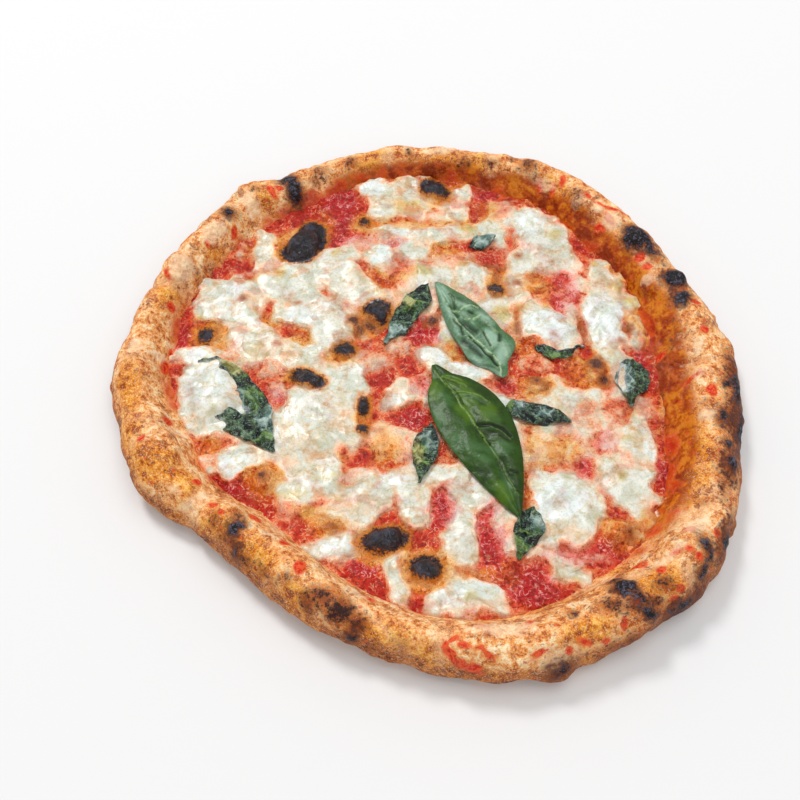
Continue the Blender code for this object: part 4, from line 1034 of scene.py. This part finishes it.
def wilted_finish():
    finish = new_finish("wilted_basil")
    middle, fine, speck = grain(4, 3, 0.6, 1.5), grain(1.5, 3), grain(0.8, 2)
    fold = frayed(kept("fold"), (middle, 1.2), (fine, 1.0), (speck, 0.4))
    colour = ramp(fold, *WILTED_FOLD_SHADE)
    for spots, by_middle, by_fine, low, colours in WILTED_PATCHES:
        share = eased(frayed(kept(spots), (middle, by_middle), (fine, by_fine)), low, 1.5, 0.85)
        colour = blended(share, colour, ramp(fold, *colours))
    # Painted glints: thin pale strokes where the oily folds would catch the light.
    painted_glints = product(strokes(1.8, 0.05), eased(middle, 0.42, 0.56, 0.75))
    colour = blended(painted_glints, colour, (138, 172, 150))
    covered = eased(frayed(kept("cheese"), (middle, 2), (fine, 1)), -1.2, 1.4)
    colour = blended(covered, colour, blended(eased(middle, 0.3, 0.6), (206, 222, 228), (232, 242, 244)))
    surface({
        "Base Color": colour, "Normal": bumps(frayed(fine, (middle, 1.4)), 1.6, 0.9),
        "Roughness": WILTED_ROUGHNESS, "Specular IOR Level": 0.5,
    })
    return finish


wilted = wilted_finish()
for name in sorted(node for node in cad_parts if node.startswith("basil")):
    mesh = refined_copy(name, f"wilted_{name}", WILTED_LEVELS)
    points = points_of(mesh)
    flat = points * (1, 1, 0) + (0, 0, SAUCE_TOP)
    points[:, :2] = wander(wander(flat, 9, 2.2, 9), 3.5, 1.1, 10)[:, :2]
    lift = melted_height(points[:, 0], points[:, 1], topping_fields(points[:, 0], points[:, 1])) - SAUCE_TOP
    close = wander(flat, 4, 1.2, 8)
    cheese = depth_in(close, flat_spots(LEAF_CHEESE))
    under = smooth_step(-0.6, 1.4, cheese)
    points[:, 2] += np.maximum(lift, 0) * (1 - under) - UNDER_CHEESE * under
    fold = 1 - 2.4 * np.abs(ripple(flat, 5.5, 51)) + 0.4 * ripple(flat, 2.2, 52)
    points[:, 2] += CRINKLE * fold * smooth_step(0.0, -2.5, cheese)
    move_points(mesh, points)
    tints = depths(close, sage=LEAF_SAGE_AND_SHEEN, green=LEAF_GREEN, yellow=LEAF_YELLOW)
    store(mesh, cheese=cheese, fold=fold - 0.35, **tints)
    show(mesh, wilted, "wilted_basil", name)


# The fresh basil: two leaves laid on after baking, waxy and deep green, with a short pale stalk, veins
# that stand out and folds beside the midrib. Each is a finer copy of its solid with these drawn in.

# A leaf's places of base and tip, its bow, half width, share of it on either side, roundness at the
# base and its colours: near half and far half, one painted lighter than the other as light and shade,
# painted sheen and veins.
FRESH_LEAVES = (
    (
        "fresh_basil_large", (6, 1), (41, -78), -3.5, 17.5, (1, 1), 0.0,
        (46, 80, 10), (38, 68, 0), (66, 106, 58), (116, 146, 60),
    ),
    (
        "fresh_basil_small", (36, 2), (6, 58), -2.0, 12.5, (0.66, 1.24), 0.45,
        (82, 120, 84), (104, 140, 114), (176, 210, 188), (184, 210, 160),
    ),
)
LEAF_LEVELS = 4
LEAF_ROUGHNESS = 0.34
LEAF_SHINE = 0.28
LEAF_WAVES = ((0.6, 9, 61), (0.35, 4, 63))
VEIN_RISE = 0.35
FOLD_FALL = 0.8
STALK = 5.0

# Veins and folds are lines as seen, from place to place, each with its width and its strength. Painted
# sheens and patches of lively green are ovals, as on the crust.
VEINS = (
    (((5, 1), (6, -1.7), (12.5, -9.5), (18, -21.6), (22.9, -30.9), (28.2, -40.6)), 1.0, 1.0),
    (((28.2, -40.6), (34.3, -52.4), (36.9, -59.9), (40.5, -67.3)), 0.8, 0.55),
    (((7.4, -1.9), (12.8, -2.3), (17.5, -5)), 0.7, 0.7),
    (((7.9, -2.5), (13.7, -5.3), (19.6, -8.6)), 0.7, 0.7),
    (((14.6, -11.6), (22.6, -13.4), (29.8, -18.5)), 0.9, 0.8),
    (((30, -32), (34, -34.3), (39.2, -38.8)), 0.7, 0.8),
    (((37, -5), (36.3, 6.1), (30.7, 12.8), (25, 19.5), (20.2, 25.1)), 1.0, 1.0),
    (((20.2, 25.1), (15.9, 30.8), (12.1, 42.3)), 1.0, 0.8),
    (((11.4, 42.3), (8.7, 48.9), (7.3, 52.9)), 0.8, 0.4), (((19.1, 20.4), (23.5, 19.2)), 0.9, 0.8),
    (((13, 38), (17.5, 36.6), (19.3, 38.6), (23, 40.4), (27, 39)), 1.1, 0.8),
    (((20.4, 31.4), (24, 30.4), (27.6, 33.4)), 1.2, 0.9), (((30.6, 22.6), (33, 15.4)), 0.7, 0.6),
    (((12.4, 49), (16.4, 42.2)), 0.7, 0.4), (((30, 31), (36, 24)), 1.4, 0.4),
    (((38, 16), (40.6, 10)), 1.6, 0.4),
)
FOLDS = (
    (((8.4, -3.7), (14.1, -12.1), (17.6, -18.5)), 0.9, 0.7), (((25.8, -37), (29, -40.9)), 1.0, 0.9),
    (((24, -30.3), (30.3, -30.9), (35.3, -33.9), (39.2, -37.6)), 1.5, 1.0),
    (((24, -34), (34, -36.4), (38, -39.6)), 2.2, 0.5), (((37.7, -55.6), (41.7, -56.5)), 1.0, 0.8),
    (((11, -4.6), (16, -8.6)), 1.0, 0.5), (((19.6, -15), (28, -20)), 1.6, 0.35),
    (((16, -54), (27, -56.5), (24.7, -62)), 3.2, 0.45), (((10, -48), (20, -60)), 2.0, 0.4),
    (((33, -50), (38, -60), (41, -66)), 2.6, 0.3), (((22.1, 20.8), (27.8, 14), (35.7, 4.6)), 1.3, 1.0),
    (((13.1, 40.4), (16, 33.3)), 1.8, 1.0), (((12.8, 48.2), (15.3, 44.3), (15.6, 39.1)), 1.2, 0.8),
    (((17.9, 29.5), (21.3, 27), (25.2, 23.6)), 3.0, 0.85),
    (((19.5, 17.7), (23.3, 14), (27.6, 9.7)), 2.8, 0.9), (((37.1, 22), (36.9, 18)), 1.6, 0.9),
    (((29.4, 23.2), (32.3, 15.8)), 1.0, 0.9), (((22.4, 36), (24, 35)), 1.5, 0.9),
    (((15, 31), (18, 26), (19, 21)), 1.4, 0.8), (((17, 45), (24, 40.4), (31, 35)), 2.0, 0.4),
    (((27, 27), (31, 30), (33, 26)), 3.0, 0.35), (((20, 8), (26, 4.6), (34, 3.4)), 1.4, 0.4),
)
SHEENS = (
    (6, -27, 3, 8, 10), (12, -40, 5, 6, -40), (22, -43, 12, 3.4, -10), (34, -44, 6, 4),
    (25, -49, 6, 2.6, -20), (36, -62, 2.4, 8, 20), (22, -16, 6, 1.6, -30), (31, -27, 4, 2, -40),
    (9, -16, 3, 6, 30), (9.4, 50, 2.4, 7, 25), (13, 36, 1.4, 6, 25), (38, 11, 3.6, 7, -15),
    (33, 20, 4, 6, 20), (30, 33, 6, 3, -45), (29, 12, 3, 2, -45), (20, 41, 5, 2, -35),
    (25.6, 17.6, 3, 1.2, -45), (25, 7, 5, 1.4, -40),
)
LIVELY = (
    (34, -66, 3, 6, 25), (14, -6, 6, 3, -30), (20, -15, 4, 7, 30), (18, -24, 3, 6, 30), (4, -10, 3, 8, 10),
    (29, -24, 5, 5),
)


def near_lines(points, lines):
    """1 on the nearest of some drawn lines, fading to 0 at its width, times its strength."""
    best = np.zeros(len(points))
    for places, width, strength in lines:
        for start, end in zip(places, places[1:]):
            start, run = np.array(start, float), np.array(end, float) - start
            share = np.clip((points[:, :2] - start) @ run / (run @ run), 0, 1)
            away = np.linalg.norm(points[:, :2] - start - share[:, None] * run, axis=1)
            best = np.maximum(best, strength * smooth_step(width, 0, away))
    return best


def fresh_finish(name, near, far, sheen, vein):
    finish = new_finish(name)
    broad, middle, fine = grain(14, 2), grain(5, 3), grain(1.2, 2)
    # One half of the leaf is painted lighter than the other: painted light and shade on the two sides of
    # the midrib.
    half = eased(frayed(kept("half"), (broad, 1.6), (middle, 0.6)), -0.45, 0.45)
    colour = blended(half, far, near)
    # Painted shade in the hollows of the leaf's bumps.
    colour = tinted(eased(frayed(middle, (fine, 0.6)), 0.6, 0.4, 0.7), colour, (190, 198, 160))
    lively = eased(frayed(kept("lively"), (middle, 4)), -2, 2, 0.55)
    colour = blended(lively, colour, (86, 120, 10))
    # Painted sheen: lighter, bluer green where the leaf would catch the light.
    colour = blended(eased(frayed(kept("sheen"), (middle, 2), (fine, 1)), -1.5, 2.5, 0.55), colour, sheen)
    # Painted shade in the folds pressed into the leaf.
    colour = tinted(kept("furrow"), colour, (66, 84, 34))
    colour = blended(product(kept("vein"), eased(fine, 0.3, 0.6, 0.75)), colour, vein)
    surface({
        "Base Color": colour, "Normal": bumps(frayed(fine, (middle, 2.0)), 0.3, 0.5),
        "Roughness": LEAF_ROUGHNESS, "Specular IOR Level": LEAF_SHINE,
    })
    return finish


for name, base, tip, bow, half_width, halves, round_base, *colours in FRESH_LEAVES:
    mesh = refined_copy(name, f"leaf_{name}", LEAF_LEVELS)
    points = points_of(mesh)
    start, end = np.array(base, float), np.array(tip, float)
    length = np.linalg.norm(end - start)
    run = (end - start) / length
    side = np.array([run[1], -run[0]])
    along = np.clip((points[:, :2] - start) @ run / length, 0, 1)
    off = (points[:, :2] - start) @ side - bow * np.sin(math.pi * along)
    wider = np.where(off < 0, *halves) * (1 + round_base * smooth_step(0.36, 0.1, along))
    stalk = STALK * smooth_step(0.05, 0, along)
    points[:, :2] += (off * (wider - 1))[:, None] * side - stalk[:, None] * run
    off = off / (half_width * np.maximum(0.15, np.sin(math.pi * along ** 0.72) ** 0.85))
    flat = points * (1, 1, 0)
    loose = wander(flat, 5, 0.7, 62) + (0, 0, SAUCE_TOP)
    veins, folds = near_lines(loose, VEINS), near_lines(loose, FOLDS)
    points[:, 2] += ripples(flat, *LEAF_WAVES) + VEIN_RISE * veins - FOLD_FALL * folds
    move_points(mesh, points)
    store(mesh, vein=veins, furrow=folds, half=off, **depths(loose, sheen=SHEENS, lively=LIVELY))
    show(mesh, fresh_finish(name, *colours), "fresh_basil", name)
